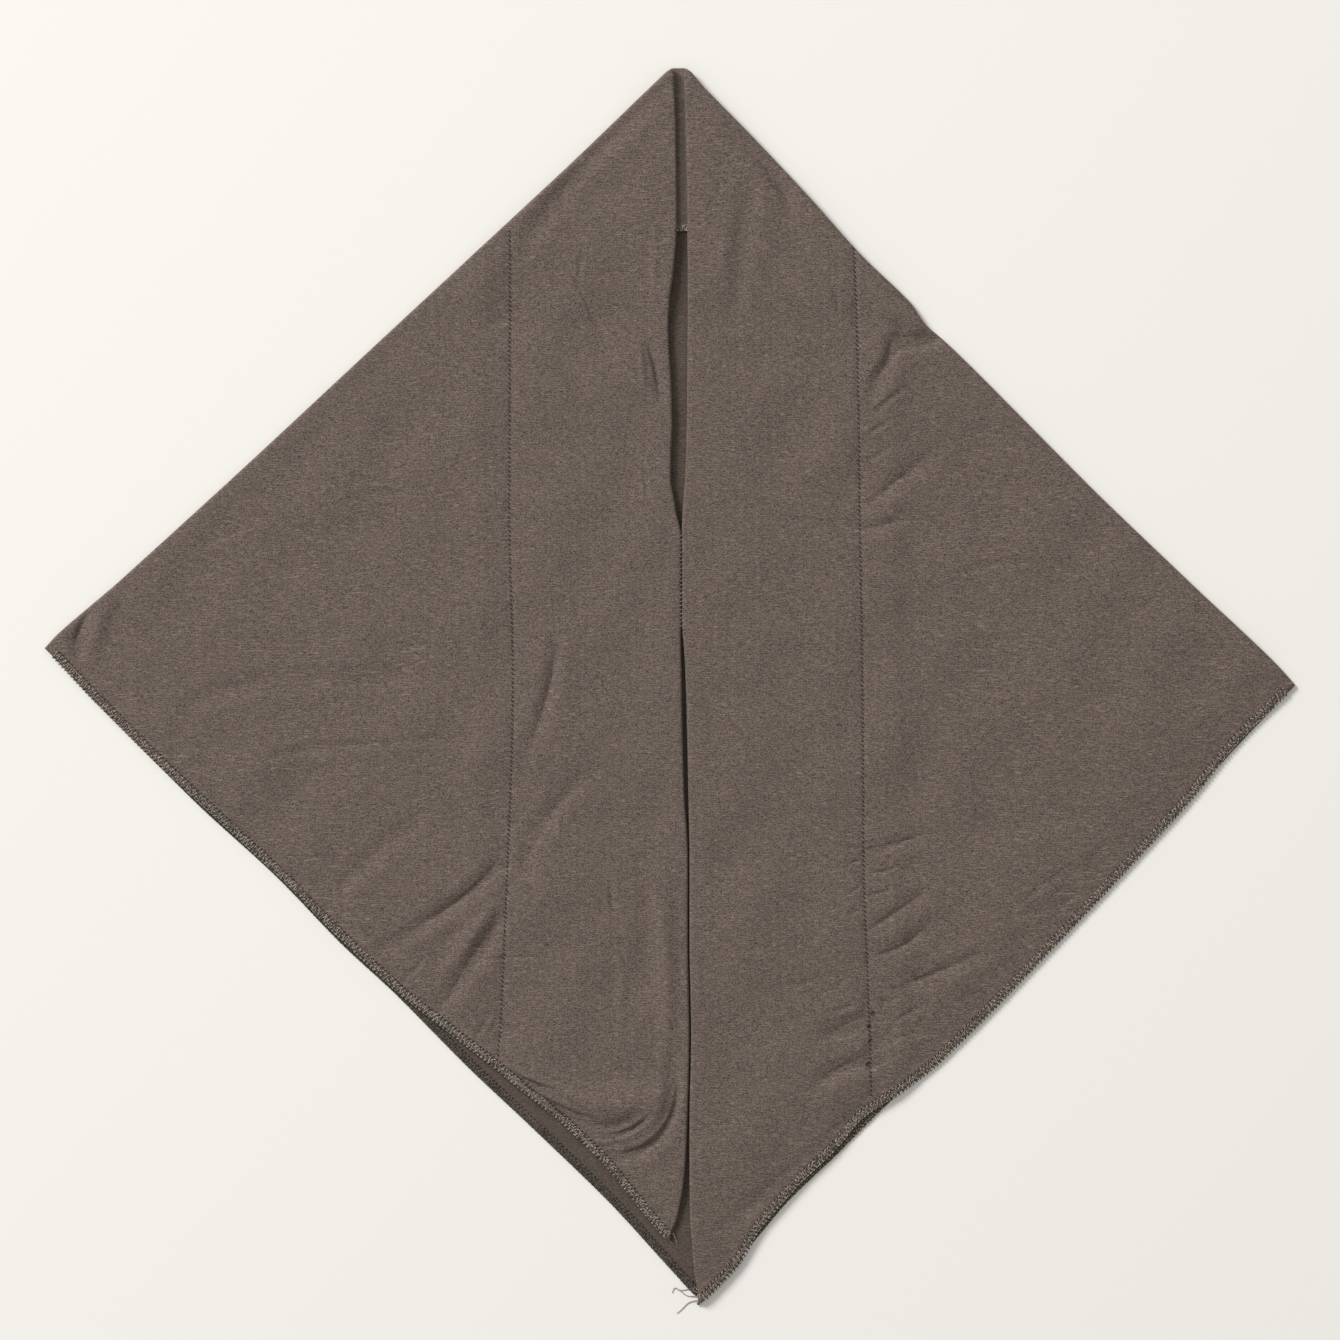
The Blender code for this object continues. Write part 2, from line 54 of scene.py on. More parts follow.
# %% Cloth sizes in metres
MM = 0.001
SOLID_WALL = 1.0 * MM
CLOTH_WALL = 0.7 * MM
GAP = 0.3 * MM
LAYER = SOLID_WALL + GAP
LOFT = 1.3 * MM
FOLD_REACH = 2.0 * MM
CENTRE_REACH = 1.3 * MM
FOLD_INSET = FOLD_REACH + 2.0 * GAP
CENTRE_INSET = CENTRE_REACH + 9.0 * GAP

# %% [markdown]
# The outline is drawn once, as straight runs between corners with a table of how far each run
# bows out or dents in. The two centre folds and the facing's stitch lines are tables of places
# across the scarf at heights up it. All of these are in millimetres from the diamond's middle.

# %% Outline tables in millimetres
CROWN_LEFT = (1.2, 370.0)
CROWN_RIGHT = (9.6, 370.0)
CROWN_MIDDLE = (5.4, 369.6)
LEFT_CORNER = (-375.0, 22.8)
RIGHT_CORNER = (375.0, 0.6)
BACK_TIP = (15.6, -366.0)
FRONT_LEFT_TIP = (0.0, -332.0)
FRONT_RIGHT_TIP = (17.4, -370.0)
MIDDLE = (6.0, 0.0)
CROWN_TONGUE = 2.8
CROWN_CORNER = 0.8
FACING_CROWN_EDGE = 273.0
HEM_TO_FACING = 4.0

# Rows: share of the run, millimetres outside the straight line
LEFT_FOLD = [
    (0.00, 0.0), (0.02, 0.8), (0.12, -1.0), (0.32, -1.6), (0.58, -1.1), (0.80, -1.2), (1.00, 0.0),
]
RIGHT_FOLD = [
    (0.00, 0.0), (0.03, 0.7), (0.17, -1.7), (0.36, -4.0), (0.50, -4.0), (0.57, -4.7),
    (0.595, -5.8), (0.63, -3.0), (0.70, -4.1), (0.80, -1.9), (0.90, -0.9), (0.97, -1.0),
    (1.00, 0.0),
]
LEFT_HEM = [
    (0.00, 0.0), (0.08, 1.4), (0.22, 1.6), (0.36, -1.1), (0.45, 0.0), (0.54, -1.6),
    (0.64, -1.1), (0.74, -2.5), (0.85, -3.5), (0.96, -0.9), (1.00, 0.0),
]
RIGHT_HEM = [
    (0.00, 0.0), (0.12, 1.0), (0.22, 3.4), (0.42, 4.9), (0.52, 5.2), (0.62, 4.0), (0.68, 1.2),
    (0.76, 0.8), (0.84, -0.6), (0.92, 1.8), (1.00, 0.0),
]
FRONT_LEFT_HEM = [
    (0.00, 0.0), (0.08, 2.0), (0.22, 3.6), (0.38, 2.8), (0.48, 4.6), (0.57, 4.2), (0.63, 1.5),
    (0.70, -2.2), (0.76, -4.7), (0.82, -7.0), (0.87, -7.0), (0.92, -4.5), (0.96, -1.8),
    (1.00, 0.0),
]
FRONT_RIGHT_HEM = [
    (0.00, 0.0), (0.08, -1.0), (0.20, 3.0), (0.35, 4.3), (0.50, 4.6), (0.60, 3.4), (0.66, -1.0),
    (0.72, -7.0), (0.76, -5.6), (0.82, -6.8), (0.88, -5.8), (0.95, 0.5), (1.00, 0.0),
]

# Rows: height up the scarf, left fold's place, right fold's place
CENTRE_FOLDS = [
    (-370.0, 0.0, 17.4), (-350.0, 0.0, 14.4), (-332.0, 0.0, 13.0), (-318.0, 4.6, 12.0),
    (-290.0, 9.0, 11.6), (-260.0, 10.5, 11.6), (-210.0, 11.7, 12.6), (-150.0, 10.8, 11.6),
    (-104.0, 10.8, 11.6), (-60.0, 8.4, 10.9), (-20.0, 7.4, 10.1), (10.0, 6.9, 9.2),
    (28.0, 6.5, 8.0), (35.0, 6.6, 7.2), (91.0, 6.6, 7.2), (103.0, 3.8, 7.7), (112.0, 2.5, 8.2),
    (124.0, 0.3, 9.2), (142.0, 0.5, 10.0), (157.0, 1.2, 10.3), (172.0, 0.9, 10.5),
    (187.0, 0.2, 10.7), (202.0, -0.9, 10.8), (217.0, -1.4, 11.1), (232.0, -0.7, 11.2),
    (248.0, 1.4, 11.2), (280.0, 3.4, 11.2), (335.0, 2.6, 10.6), (370.0, 1.2, 9.6),
]

# Rows: height up the scarf, left stitch line's place, right stitch line's place
STITCH_LINES = [
    (-250.0, -104.4, 120.4), (-190.0, -101.0, 118.8), (-100.0, -97.2, 115.8),
    (0.0, -94.2, 115.2), (110.0, -96.4, 113.4), (200.0, -96.0, 112.2), (285.0, -96.0, 109.5),
]

# %% [markdown]
# A crease in soft jersey is a trough with a lower ridge at each side of it. Each row places one:
# a curve through three places, its half width, how far it rises or sinks, where along the curve it
# is strongest, and its lean, which makes one side steeper. The broad ones are those of the solids.
# The fine ones are the drags at the stitches and hems, which are too small for them.

# %% Crease tables in millimetres
# Rows: start, through, end, half width, rise
LEFT_BROAD = [
    ((-99, -101), (-120, -124), (-171, -157), 6.0, -2.2),
    ((-105, -131), (-120, -152), (-135, -173), 6.5, 2.0),
    ((-102, -139), (-115, -161), (-136, -191), 6.5, -2.4),
    ((-144, -76), (-180, -103), (-198, -125), 6.5, -1.4),
    ((-69, 28), (-72, -2), (-85, -41), 6.0, -1.8),
    ((-51, -53), (-78, -85), (-87, -110), 7.0, -1.8),
    ((1, -224), (-5, -268), (-36, -283), 6.0, -2.4),
    ((-18, -256), (-39, -266), (-66, -256), 6.0, -2.4),
    ((-42, -259), (-62, -250), (-99, -226), 6.0, -1.3),
    ((-4, -128), (-2, -176), (-3, -224), 6.0, 1.6),
    ((-15, -98), (-15, -143), (-15, -188), 7.0, -1.1),
    ((-347, 43), (-354, 28), (-353, 15), 7.0, -1.6),
    ((-336, 52), (-343, 37), (-347, 18), 7.0, 1.6),
    ((-9, 353), (-57, 305), (-90, 256), 8.0, -2.3),
    ((-13, 203), (-8, 185), (-6, 172), 5.0, -1.4),
    ((-294, -35), (-261, -1), (-132, 4), 8.0, -1.1),
    ((-94, -221), (-55, -250), (-8, -246), 13.0, 3.0),
]
RIGHT_BROAD = [
    ((36, 330), (63, 306), (72, 283), 7.0, -2.2),
    ((48, 301), (43, 262), (39, 220), 8.0, -2.0),
    ((133, 204), (148, 206), (163, 209), 7.0, -3.4),
    ((137, 210), (131, 194), (121, 176), 6.0, -2.2),
    ((165, 145), (138, 124), (117, 107), 7.0, -1.4),
    ((99, 97), (123, 95), (141, 103), 6.5, -1.2),
    ((207, 152), (294, 70), (357, 13), 9.0, -0.9),
    ((119, -98), (135, -95), (155, -88), 5.0, -1.3),
    ((119, -146), (135, -136), (156, -121), 6.0, -1.3),
    ((122, -162), (141, -155), (156, -143), 6.0, -1.3),
    ((136, -181), (165, -170), (188, -160), 6.5, -1.6),
    ((90, -209), (108, -205), (126, -194), 6.5, -2.3),
    ((87, -239), (108, -228), (127, -224), 6.5, -2.3),
    ((33, -322), (78, -289), (123, -247), 6.5, -1.4),
    ((126, 224), (141, 223), (157, 219), 8.0, 1.2),
    ((121, -188), (129, -205), (124, -222), 8.0, -2.0),
]

# Rows: start, through, end, half width, rise, share at which it is strongest, lean
LEFT_FINE = [
    ((-99, -101), (-118, -122), (-160, -151), 2.2, -0.8, 0.30, 0.3),
    ((-104, -141), (-117, -164), (-137, -193), 2.4, -0.9, 0.65, 0.3),
    ((-69, 22), (-73, -4), (-84, -38), 2.2, -0.4, 0.40, 0.2),
    ((-53, -58), (-77, -85), (-88, -108), 2.4, -0.4, 0.50, 0.2),
    ((4, -228), (-3, -266), (-37, -283), 2.4, -3.0, 0.60, 0.4),
    ((-10, -255), (-36, -270), (-62, -260), 2.1, -3.3, 0.50, 0.4),
    ((-45, -259), (-61, -254), (-82, -243), 1.6, -3.0, 0.62, 0.5),
    ((-66, -242), (-84, -237), (-102, -227), 1.6, -3.0, 0.62, 0.5),
    ((-347, 46), (-355, 30), (-354, 18), 2.2, -0.7, 0.35, 0.2),
    ((-331, 52), (-329, 49), (-327, 46), 2.4, -0.5, 0.50, 0.0),
    ((-13, 203), (-8, 185), (-6, 168), 1.5, -0.9, 0.30, 0.5),
    ((-18, 207), (-17, 193), (-14, 175), 2.4, 0.5, 0.50, 0.0),
    ((-63, 253), (-54, 238), (-39, 205), 1.8, -0.5, 0.50, 0.2),
    ((-15, 148), (-15, 124), (-9, 103), 1.8, -0.4, 0.50, 0.2),
    ((-51, 268), (-54, 250), (-57, 232), 2.6, -0.4, 0.50, 0.2),
    ((-230, -98), (-224, -116), (-219, -122), 2.6, -0.9, 0.60, 0.2),
    ((-267, -50), (-204, -37), (-102, -31), 4.0, -0.5, 0.50, 0.1),
    ((-123, -215), (-116, -211), (-108, -194), 2.2, -0.6, 0.40, 0.2),
    ((-109, -209), (-105, -203), (-104, -197), 1.6, -0.6, 0.50, 0.2),
    ((-118, -216), (-112, -216), (-106, -214), 1.6, -0.5, 0.50, 0.2),
    ((-117, -164), (-96, -163), (-60, -161), 1.8, -0.4, 0.35, 0.1),
    ((-42, -274), (-38, -276), (-30, -274), 1.6, -0.5, 0.50, 0.2),
    ((-35, -112), (-35, -125), (-34, -140), 2.6, -0.5, 0.50, 0.1),
    ((-30, -158), (-29, -180), (-30, -215), 3.4, 0.6, 0.55, 0.0),
    ((-18, -308), (-10, -307), (-1, -306), 2.0, -0.5, 0.40, 0.2),
    ((-12, -315), (-6, -316), (1, -316), 2.0, -0.5, 0.40, 0.2),
    ((-17, -298), (-14, -299), (-12, -300), 1.8, -0.4, 0.50, 0.2),
    ((-9, 280), (-9, 256), (-9, 232), 3.0, 0.5, 0.50, 0.0),
    ((-150, -205), (-146, -198), (-141, -192), 2.4, -0.7, 0.40, 0.2),
    ((-162, -178), (-152, -169), (-146, -160), 2.6, -0.5, 0.40, 0.2),
    ((-110, -219), (-118, -222), (-126, -224), 1.6, -0.5, 0.50, 0.2),
]
RIGHT_FINE = [
    ((134, 203), (149, 205), (163, 208), 2.6, -1.3, 0.60, 0.3),
    ((137, 206), (130, 195), (120, 180), 3.6, -0.7, 0.35, 0.3),
    ((141, 179), (132, 172), (120, 162), 2.6, -0.7, 0.55, 0.2),
    ((163, 143), (138, 124), (117, 107), 2.6, -0.5, 0.70, 0.2),
    ((99, 97), (123, 95), (141, 103), 2.6, -0.5, 0.55, 0.2),
    ((117, 150), (124, 154), (134, 160), 2.6, -0.5, 0.45, 0.2),
    ((117, 133), (126, 139), (138, 148), 2.6, -0.4, 0.40, 0.2),
    ((171, 64), (198, 74), (237, 71), 3.6, -0.5, 0.50, 0.1),
    ((36, 328), (62, 305), (72, 283), 2.6, -0.3, 0.50, 0.1),
    ((97, 241), (100, 232), (101, 222), 2.6, -0.4, 0.50, 0.1),
    ((119, -98), (135, -95), (153, -88), 1.8, -0.7, 0.35, 0.3),
    ((119, -112), (129, -111), (138, -107), 1.8, -0.9, 0.35, 0.3),
    ((119, -125), (126, -124), (135, -121), 1.8, -0.7, 0.35, 0.3),
    ((119, -146), (135, -136), (156, -121), 1.9, -0.7, 0.35, 0.3),
    ((122, -162), (141, -155), (153, -144), 1.9, -0.7, 0.35, 0.3),
    ((141, -179), (165, -170), (186, -160), 2.2, -0.7, 0.35, 0.3),
    ((120, -178), (132, -179), (141, -178), 2.4, 0.5, 0.50, 0.0),
    ((118, -188), (130, -189), (142, -186), 2.4, -0.6, 0.40, 0.2),
    ((102, -95), (108, -97), (114, -98), 1.7, -0.7, 0.60, 0.2),
    ((105, -107), (110, -106), (115, -103), 1.7, -0.7, 0.60, 0.2),
    ((105, -125), (110, -123), (115, -119), 1.7, -0.6, 0.60, 0.2),
    ((104, -138), (110, -136), (115, -133), 1.7, -0.5, 0.60, 0.2),
    ((90, -209), (108, -205), (126, -194), 2.3, -1.0, 0.65, 0.3),
    ((87, -239), (108, -228), (127, -224), 2.3, -1.0, 0.60, 0.3),
    ((96, -194), (105, -193), (111, -191), 2.2, -0.7, 0.55, 0.2),
    ((128, -206), (140, -198), (156, -190), 2.4, -0.6, 0.35, 0.2),
    ((126, -216), (138, -211), (150, -207), 2.2, -0.5, 0.35, 0.2),
    ((33, -322), (78, -289), (123, -247), 2.2, -0.4, 0.65, 0.2),
    ((16, -152), (17, -173), (17, -194), 2.6, 0.3, 0.50, 0.0),
    ((234, -131), (240, -128), (246, -125), 2.6, -0.5, 0.50, 0.2),
    ((205, -134), (222, -121), (243, -106), 3.0, -0.4, 0.50, 0.2),
    ((66, -180), (82, -178), (100, -172), 3.0, -0.4, 0.55, 0.1),
]
CREASE_STEPS = 8
BROAD_RIDGE = 1.0
FINE_RIDGE = 1.5
FINE_SHARE = 1.1

# %% [markdown]
# Every table is read along a smooth line that never swings past its rows, so a hem keeps the dents
# it was given and no more. These helpers work on whole arrays, because one front has about fifty
# thousand points.

# %% Smooth lines through the tables
def read_table(rows, places, column):
    """A table's column at many places, on a smooth line with no overshoot."""
    x = np.array([row[0] for row in rows])
    y = np.array([row[column] for row in rows])
    places = np.clip(places, x[0], x[-1])
    step = np.diff(x)
    grade = np.diff(y) / step
    product = grade[:-1] * grade[1:]
    total = np.where(product > 0.0, grade[:-1] + grade[1:], 1.0)
    slope = np.zeros(len(x))
    slope[1:-1] = np.where(product > 0.0, 2.0 * product / total, 0.0)
    low = np.clip(np.searchsorted(x, places, side="right") - 1, 0, len(x) - 2)
    q = (places - x[low]) / step[low]
    start, end, rise = slope[low] * step[low], slope[low + 1] * step[low], y[low + 1] - y[low]
    bend, twist = 3 * rise - 2 * start - end, start + end - 2 * rise
    return y[low] + q * start + q**2 * bend + q**3 * twist


def ease(value, low, high):
    """0 below low, 1 above high and a soft step between."""
    q = np.clip((value - low) / (high - low), 0.0, 1.0)
    return q * q * (3.0 - 2.0 * q)


def outward(start, end, inner):
    """Level unit direction square to a run, away from an inner place."""
    along = np.subtract(end, start)
    normal = np.array([along[1], -along[0]]) / np.hypot(*along)
    return -normal if normal @ np.subtract(inner, start) > 0.0 else normal


def centre_fold(side, up):
    """Place across the scarf of the left (-1) or right (1) centre fold, in metres."""
    return read_table(CENTRE_FOLDS, up / MM, 1 if side < 0 else 2) * MM


def stitch_line(side, up):
    """Place across the scarf of the left or right facing stitches, in metres."""
    return read_table(STITCH_LINES, up / MM, 1 if side < 0 else 2) * MM


def crown_layers(up):
    """1 over the crown's facing, 0 clear of it and a soft step between."""
    return 1.0 - ease(FACING_CROWN_EDGE * MM - up, 34.0 * MM, 60.0 * MM)


chin = centre_fold(1, np.array([0.06])) - centre_fold(-1, np.array([0.06]))
print("The centre folds come within", round(float(chin[0]) / MM, 2), "mm at the chin seam")

# %% [markdown]
# The height of a front is what lies under it, plus a little loft, plus its creases. The loft is
# lowest along the stitches, which hold the cloth down in a narrow valley, and at the hem. A few
# long, very low swells keep the open stretches from looking ironed.

# %% Height of a crease and of the open cloth
SWELL_SEED = 7
SWELL_RISE = 0.16 * MM
VALLEY_DEPTH = 0.45 * MM
VALLEY_HALF_WIDTH = 1.8 * MM
TROUGH_ROOM = 0.8 * MM
FLOOR_SOFTNESS = 0.2 * MM


def crease_offsets(crease, points):
    """Signed distance of many places from a crease's curve, and the share along it."""
    start, through, end = (np.array(place) * MM for place in crease[:3])
    pull = 2.0 * through - 0.5 * (start + end)
    share = np.linspace(0.0, 1.0, CREASE_STEPS + 1)[:, None]
    curve = (1 - share) ** 2 * start + 2 * share * (1 - share) * pull + share**2 * end
    best = np.full(len(points), 1.0)
    signed, along = best.copy(), np.zeros(len(points))
    for k in range(CREASE_STEPS):
        run = curve[k + 1] - curve[k]
        away = points - curve[k]
        q = np.clip(away @ run / (run @ run), 0.0, 1.0)
        gap = away - q[:, None] * run
        distance = np.hypot(gap[:, 0], gap[:, 1])
        side = np.sign(run[0] * gap[:, 1] - run[1] * gap[:, 0])
        nearer = distance < best
        best = np.where(nearer, distance, best)
        signed = np.where(nearer, distance * side, signed)
        along = np.where(nearer, (k + q) / CREASE_STEPS, along)
    return signed, along


def crease_height(creases, points):
    """Rise of the cloth from a table of creases at many places."""
    height = np.zeros(len(points))
    for crease in creases:
        half, rise = crease[3] * MM, crease[4] * MM
        reach = 4.0 * half + np.hypot(*np.subtract(crease[2], crease[0])) * MM
        near = np.flatnonzero(np.hypot(*(points - np.array(crease[1]) * MM).T) < reach)
        signed, along = crease_offsets(crease, points[near])
        across = signed / half
        if len(crease) > 5:
            power = math.log(0.5) / math.log(crease[5])
            fade = np.sin(math.pi * np.clip(along, 0.001, 0.999) ** power)
            lean, ridge = crease[6] * across, FINE_RIDGE
            rise *= FINE_SHARE
        else:
            fade = np.sin(math.pi * (0.12 + 0.76 * along))
            lean, ridge = 0.0, BROAD_RIDGE
        height[near] += rise * fade * (1.0 + lean - ridge * across**2) * np.exp(-(across**2))
    return height


def swells(points):
    """Long low swells of cloth that lies loose."""
    random = np.random.default_rng(SWELL_SEED)
    height = np.zeros(len(points))
    for length in (0.045, 0.06, 0.075, 0.09, 0.11, 0.14):
        for turn in random.uniform(0.0, math.pi, 3):
            wave = points @ np.array([math.cos(turn), math.sin(turn)]) / length
            height += SWELL_RISE * np.sin(2 * math.pi * (wave + random.uniform()))
    return height


# %% [markdown]
# A front is one creased panel with two folded edges: the one it shares with the back, and the one
# where it turns under to its facing. It is easiest to make on a triangular lattice whose two shares
# run along the fold and the hem, bent to the drawn outline. The lattice is split again near
# creases, so that narrow ones have enough points while the open cloth stays light.

# %% A front's plan and height
class Front:
    """Plan and height of one front; side is -1 for the left front and 1 for the right one."""

    def __init__(self, side, crown, corner, tip, fold_bows, hem_bows, broad, fine):
        self.side = side
        self.crown, self.corner, self.tip = (np.array(p) * MM for p in (crown, corner, tip))
        self.fold_bows, self.hem_bows, self.broad, self.fine = fold_bows, hem_bows, broad, fine
        middle = np.array(MIDDLE) * MM
        self.fold_out = outward(self.corner, self.crown, middle)
        self.hem_out = outward(self.corner, self.tip, middle)
        self.centre_out = np.array([-side, 0.0])

    def place(self, up_fold, down_hem):
        """Plan points at shares of the fold and the hem, both from the side corner."""
        inward = 1.0 - up_fold - down_hem
        tiny = 1e-9
        point = self.corner + np.outer(up_fold, self.crown - self.corner)
        point = point + np.outer(down_hem, self.tip - self.corner)
        fold_bow = read_table(self.fold_bows, up_fold / (up_fold + inward + tiny), 1) * MM
        hem_bow = read_table(self.hem_bows, down_hem / (down_hem + inward + tiny), 1) * MM
        near_fold, near_hem = (1.0 - down_hem) ** 4, (1.0 - up_fold) ** 4
        near_centre = np.clip(1.0 - inward, 0.0, 1.0) ** 4
        share = up_fold / (up_fold + down_hem + tiny)
        straight = self.tip + np.outer(share, self.crown - self.tip)
        centre_bow = centre_fold(self.side, straight[:, 1]) - straight[:, 0]
        point = point + np.outer((fold_bow - FOLD_REACH) * near_fold, self.fold_out)
        point = point + np.outer(hem_bow * near_hem, self.hem_out)
        point = point - np.outer(CENTRE_REACH * near_centre, self.centre_out)
        point[:, 0] += centre_bow * near_centre
        return point

    def top(self, point, up_fold, down_hem):
        """Heights of the front's outer face."""
        inward = np.clip(1.0 - up_fold - down_hem, 0.0, 1.0)
        beyond = self.side * (point[:, 0] - stitch_line(self.side, point[:, 1]))
        on_facing = 1.0 - ease(beyond, 16.0 * MM, 34.0 * MM)
        lowest = LAYER + SOLID_WALL + LAYER * on_facing * (1.0 + crown_layers(point[:, 1]))
        hem_length = np.hypot(*(self.tip - self.corner))
        fold_length = np.hypot(*(self.crown - self.corner))
        free = ease(up_fold * hem_length, 0.0, 30.0 * MM)
        loft = LOFT * (0.25 + 0.75 * free)
        loft *= 0.45 + 0.55 * ease(np.abs(beyond), 0.0, 22.0 * MM)
        from_folds = np.minimum(down_hem * fold_length, inward * abs(self.corner[0]))
        loft += 0.4 * LOFT * (1.0 - ease(from_folds, 0.0, 24.0 * MM))
        above = loft + crease_height(self.broad, point) + crease_height(self.fine, point)
        above += swells(point) * ease(from_folds, 0.0, 20.0 * MM) * free
        above -= VALLEY_DEPTH * np.exp(-((beyond / VALLEY_HALF_WIDTH) ** 2))
        above += TROUGH_ROOM * free
        return lowest - TROUGH_ROOM + 0.5 * (above + np.hypot(above, FLOOR_SOFTNESS))

    def lip_bottom(self, point, up_fold, down_hem):
        """Where a folded edge ends below: the ground, or what lies under the centre."""
        centre = (down_hem > 1e-6) | (up_fold > 1.0 - 1e-6)
        return np.where(centre, LAYER * (1.0 + crown_layers(point[:, 1])), 0.0)

    def lip_direction(self, up_fold, down_hem):
        """Level vectors by which a folded edge rounds out past the flat part."""
        at_crown = up_fold > 1.0 - 1e-6
        centre = (down_hem > 1e-6) | at_crown
        fold = ~centre | at_crown
        return np.outer(fold * FOLD_REACH, self.fold_out) + np.outer(
            centre * CENTRE_REACH, self.centre_out
        )


fronts = {
    "front_left": Front(
        -1, CROWN_LEFT, LEFT_CORNER, FRONT_LEFT_TIP, LEFT_FOLD, FRONT_LEFT_HEM,
        LEFT_BROAD, LEFT_FINE,
    ),
    "front_right": Front(
        1, CROWN_RIGHT, RIGHT_CORNER, FRONT_RIGHT_TIP, RIGHT_FOLD, FRONT_RIGHT_HEM,
        RIGHT_BROAD, RIGHT_FINE,
    ),
}

# %% The lattice, split near creases and stitches
FRONT_CELLS = 190
REFINE_LEVELS = 2
LIP_STEPS = 9


def close_edges(bm, front, cell):
    """Edges near enough to a narrow crease or the stitches to be split once more."""
    ends = np.array([[tuple(v.co) for v in edge.verts] for edge in bm.edges])
    middle = ends.mean(axis=1)
    point = front.place(middle[:, 0], middle[:, 1])
    span = front.place(ends[:, 0, 0], ends[:, 0, 1]) - front.place(ends[:, 1, 0], ends[:, 1, 1])
    wanted = np.zeros(len(point), bool)
    for crease in front.broad + front.fine:
        half = crease[3] * MM
        if cell > 0.45 * half:
            reach = 2.2 * half + np.hypot(*np.subtract(crease[2], crease[0])) * MM
            near = np.flatnonzero(np.hypot(*(point - np.array(crease[1]) * MM).T) < reach)
            wanted[near] |= np.abs(crease_offsets(crease, point[near])[0]) < 1.8 * half
    beyond = point[:, 0] - stitch_line(front.side, point[:, 1])
    if cell > 0.8 * VALLEY_HALF_WIDTH:
        wanted |= np.abs(beyond) < 2.0 * VALLEY_HALF_WIDTH
    wanted &= np.hypot(*span.T) > 0.6 * cell
    return [edge for edge, chosen in zip(bm.edges, wanted) if chosen]


def front_lattice(front):
    """Triangle of cells in shares of the fold and the hem."""
    bm = bmesh.new()
    cells = FRONT_CELLS
    grid = {
        (i, j): bm.verts.new((i / cells, j / cells, 0.0))
        for i in range(cells + 1)
        for j in range(cells + 1 - i)
    }
    for i in range(cells):
        for j in range(cells - i):
            if i + j < cells - 1:
                bm.faces.new((grid[i, j], grid[i + 1, j], grid[i + 1, j + 1], grid[i, j + 1]))
            else:
                bm.faces.new((grid[i, j], grid[i + 1, j], grid[i, j + 1]))
    cell = np.hypot(*(front.tip - front.corner)) / cells
    for level in range(REFINE_LEVELS):
        close = close_edges(bm, front, cell / 2**level)
        bmesh.ops.subdivide_edges(bm, edges=close, cuts=1, use_grid_fill=True)
        bmesh.ops.triangulate(bm, faces=[face for face in bm.faces if len(face.verts) > 4])
    return bm


def cloth_piece(name, bm):
    """Piece from an outer face, with the cloth's wall added below it."""
    bmesh.ops.recalc_face_normals(bm, faces=bm.faces)
    if sum(face.normal.z * face.calc_area() for face in bm.faces) < 0.0:
        bmesh.ops.reverse_faces(bm, faces=bm.faces)
    mesh = bpy.data.meshes.new(name)
    bm.to_mesh(mesh)
    bm.free()
    mesh.shade_smooth()
    piece = bpy.data.objects.new(name, mesh)
    bpy.context.scene.collection.objects.link(piece)
    wall = piece.modifiers.new("wall", "SOLIDIFY")
    wall.thickness = CLOTH_WALL
    wall.offset = -1.0
    return piece


def make_front(name, front):
    """One front, with its two folded edges rounded over and turned under."""
    bm = front_lattice(front)
    on_fold = sorted((v for v in bm.verts if v.co.y < 1e-7), key=lambda v: v.co.x)
    on_centre = [v for v in bm.verts if v.co.x + v.co.y > 1.0 - 1e-6 and v.co.y > 1e-7]
    boundary = on_fold + sorted(on_centre, key=lambda v: v.co.y)
    edge_share = np.array([v.co[:2] for v in boundary])
    vertices = list(bm.verts)
    share = np.array([v.co[:2] for v in vertices])
    point = front.place(share[:, 0], share[:, 1])
    top = front.top(point, share[:, 0], share[:, 1])
    for vertex, (x, y), z in zip(vertices, point, top):
        vertex.co = (x, y, z)
    edge = np.array([v.co for v in boundary])
    bottom = front.lip_bottom(edge[:, :2], edge_share[:, 0], edge_share[:, 1])
    out = front.lip_direction(edge_share[:, 0], edge_share[:, 1])
    ring = boundary
    for step in range(1, LIP_STEPS + 1):
        angle = math.pi * step / LIP_STEPS
        level = edge[:, 2] - (edge[:, 2] - bottom) * 0.5 * (1.0 - math.cos(angle))
        places = np.column_stack([edge[:, :2] + out * math.sin(angle), level])
        next_ring = [bm.verts.new(place) for place in places]
        for k in range(len(ring) - 1):
            bm.faces.new((ring[k], ring[k + 1], next_ring[k + 1], next_ring[k]))
        ring = next_ring
    piece = cloth_piece(name, bm)
    print(name, "has", len(piece.data.polygons), "faces on its outer side")
    return piece


front_left_cloth = make_front("front_left_cloth", fronts["front_left"])
front_right_cloth = make_front("front_right_cloth", fronts["front_right"])

# %% [markdown]
# The back and the facings are flat pieces between four drawn edges. A sheet that blends its four
# edges keeps every dent of the outline, and its cells stay even. The back's hems run from the side
# corners to the tip, and it is seen as a dark sliver below the fronts and through the face opening.

# %% Flat pieces between four edges
BACK_CELLS = 130
DENT_SHARES = (-0.05, -0.025, 0.0, 0.025, 0.05)
CENTRE_SHIFTS_MM = (-16.0, -8.0, 0.0, 8.0, 16.0)
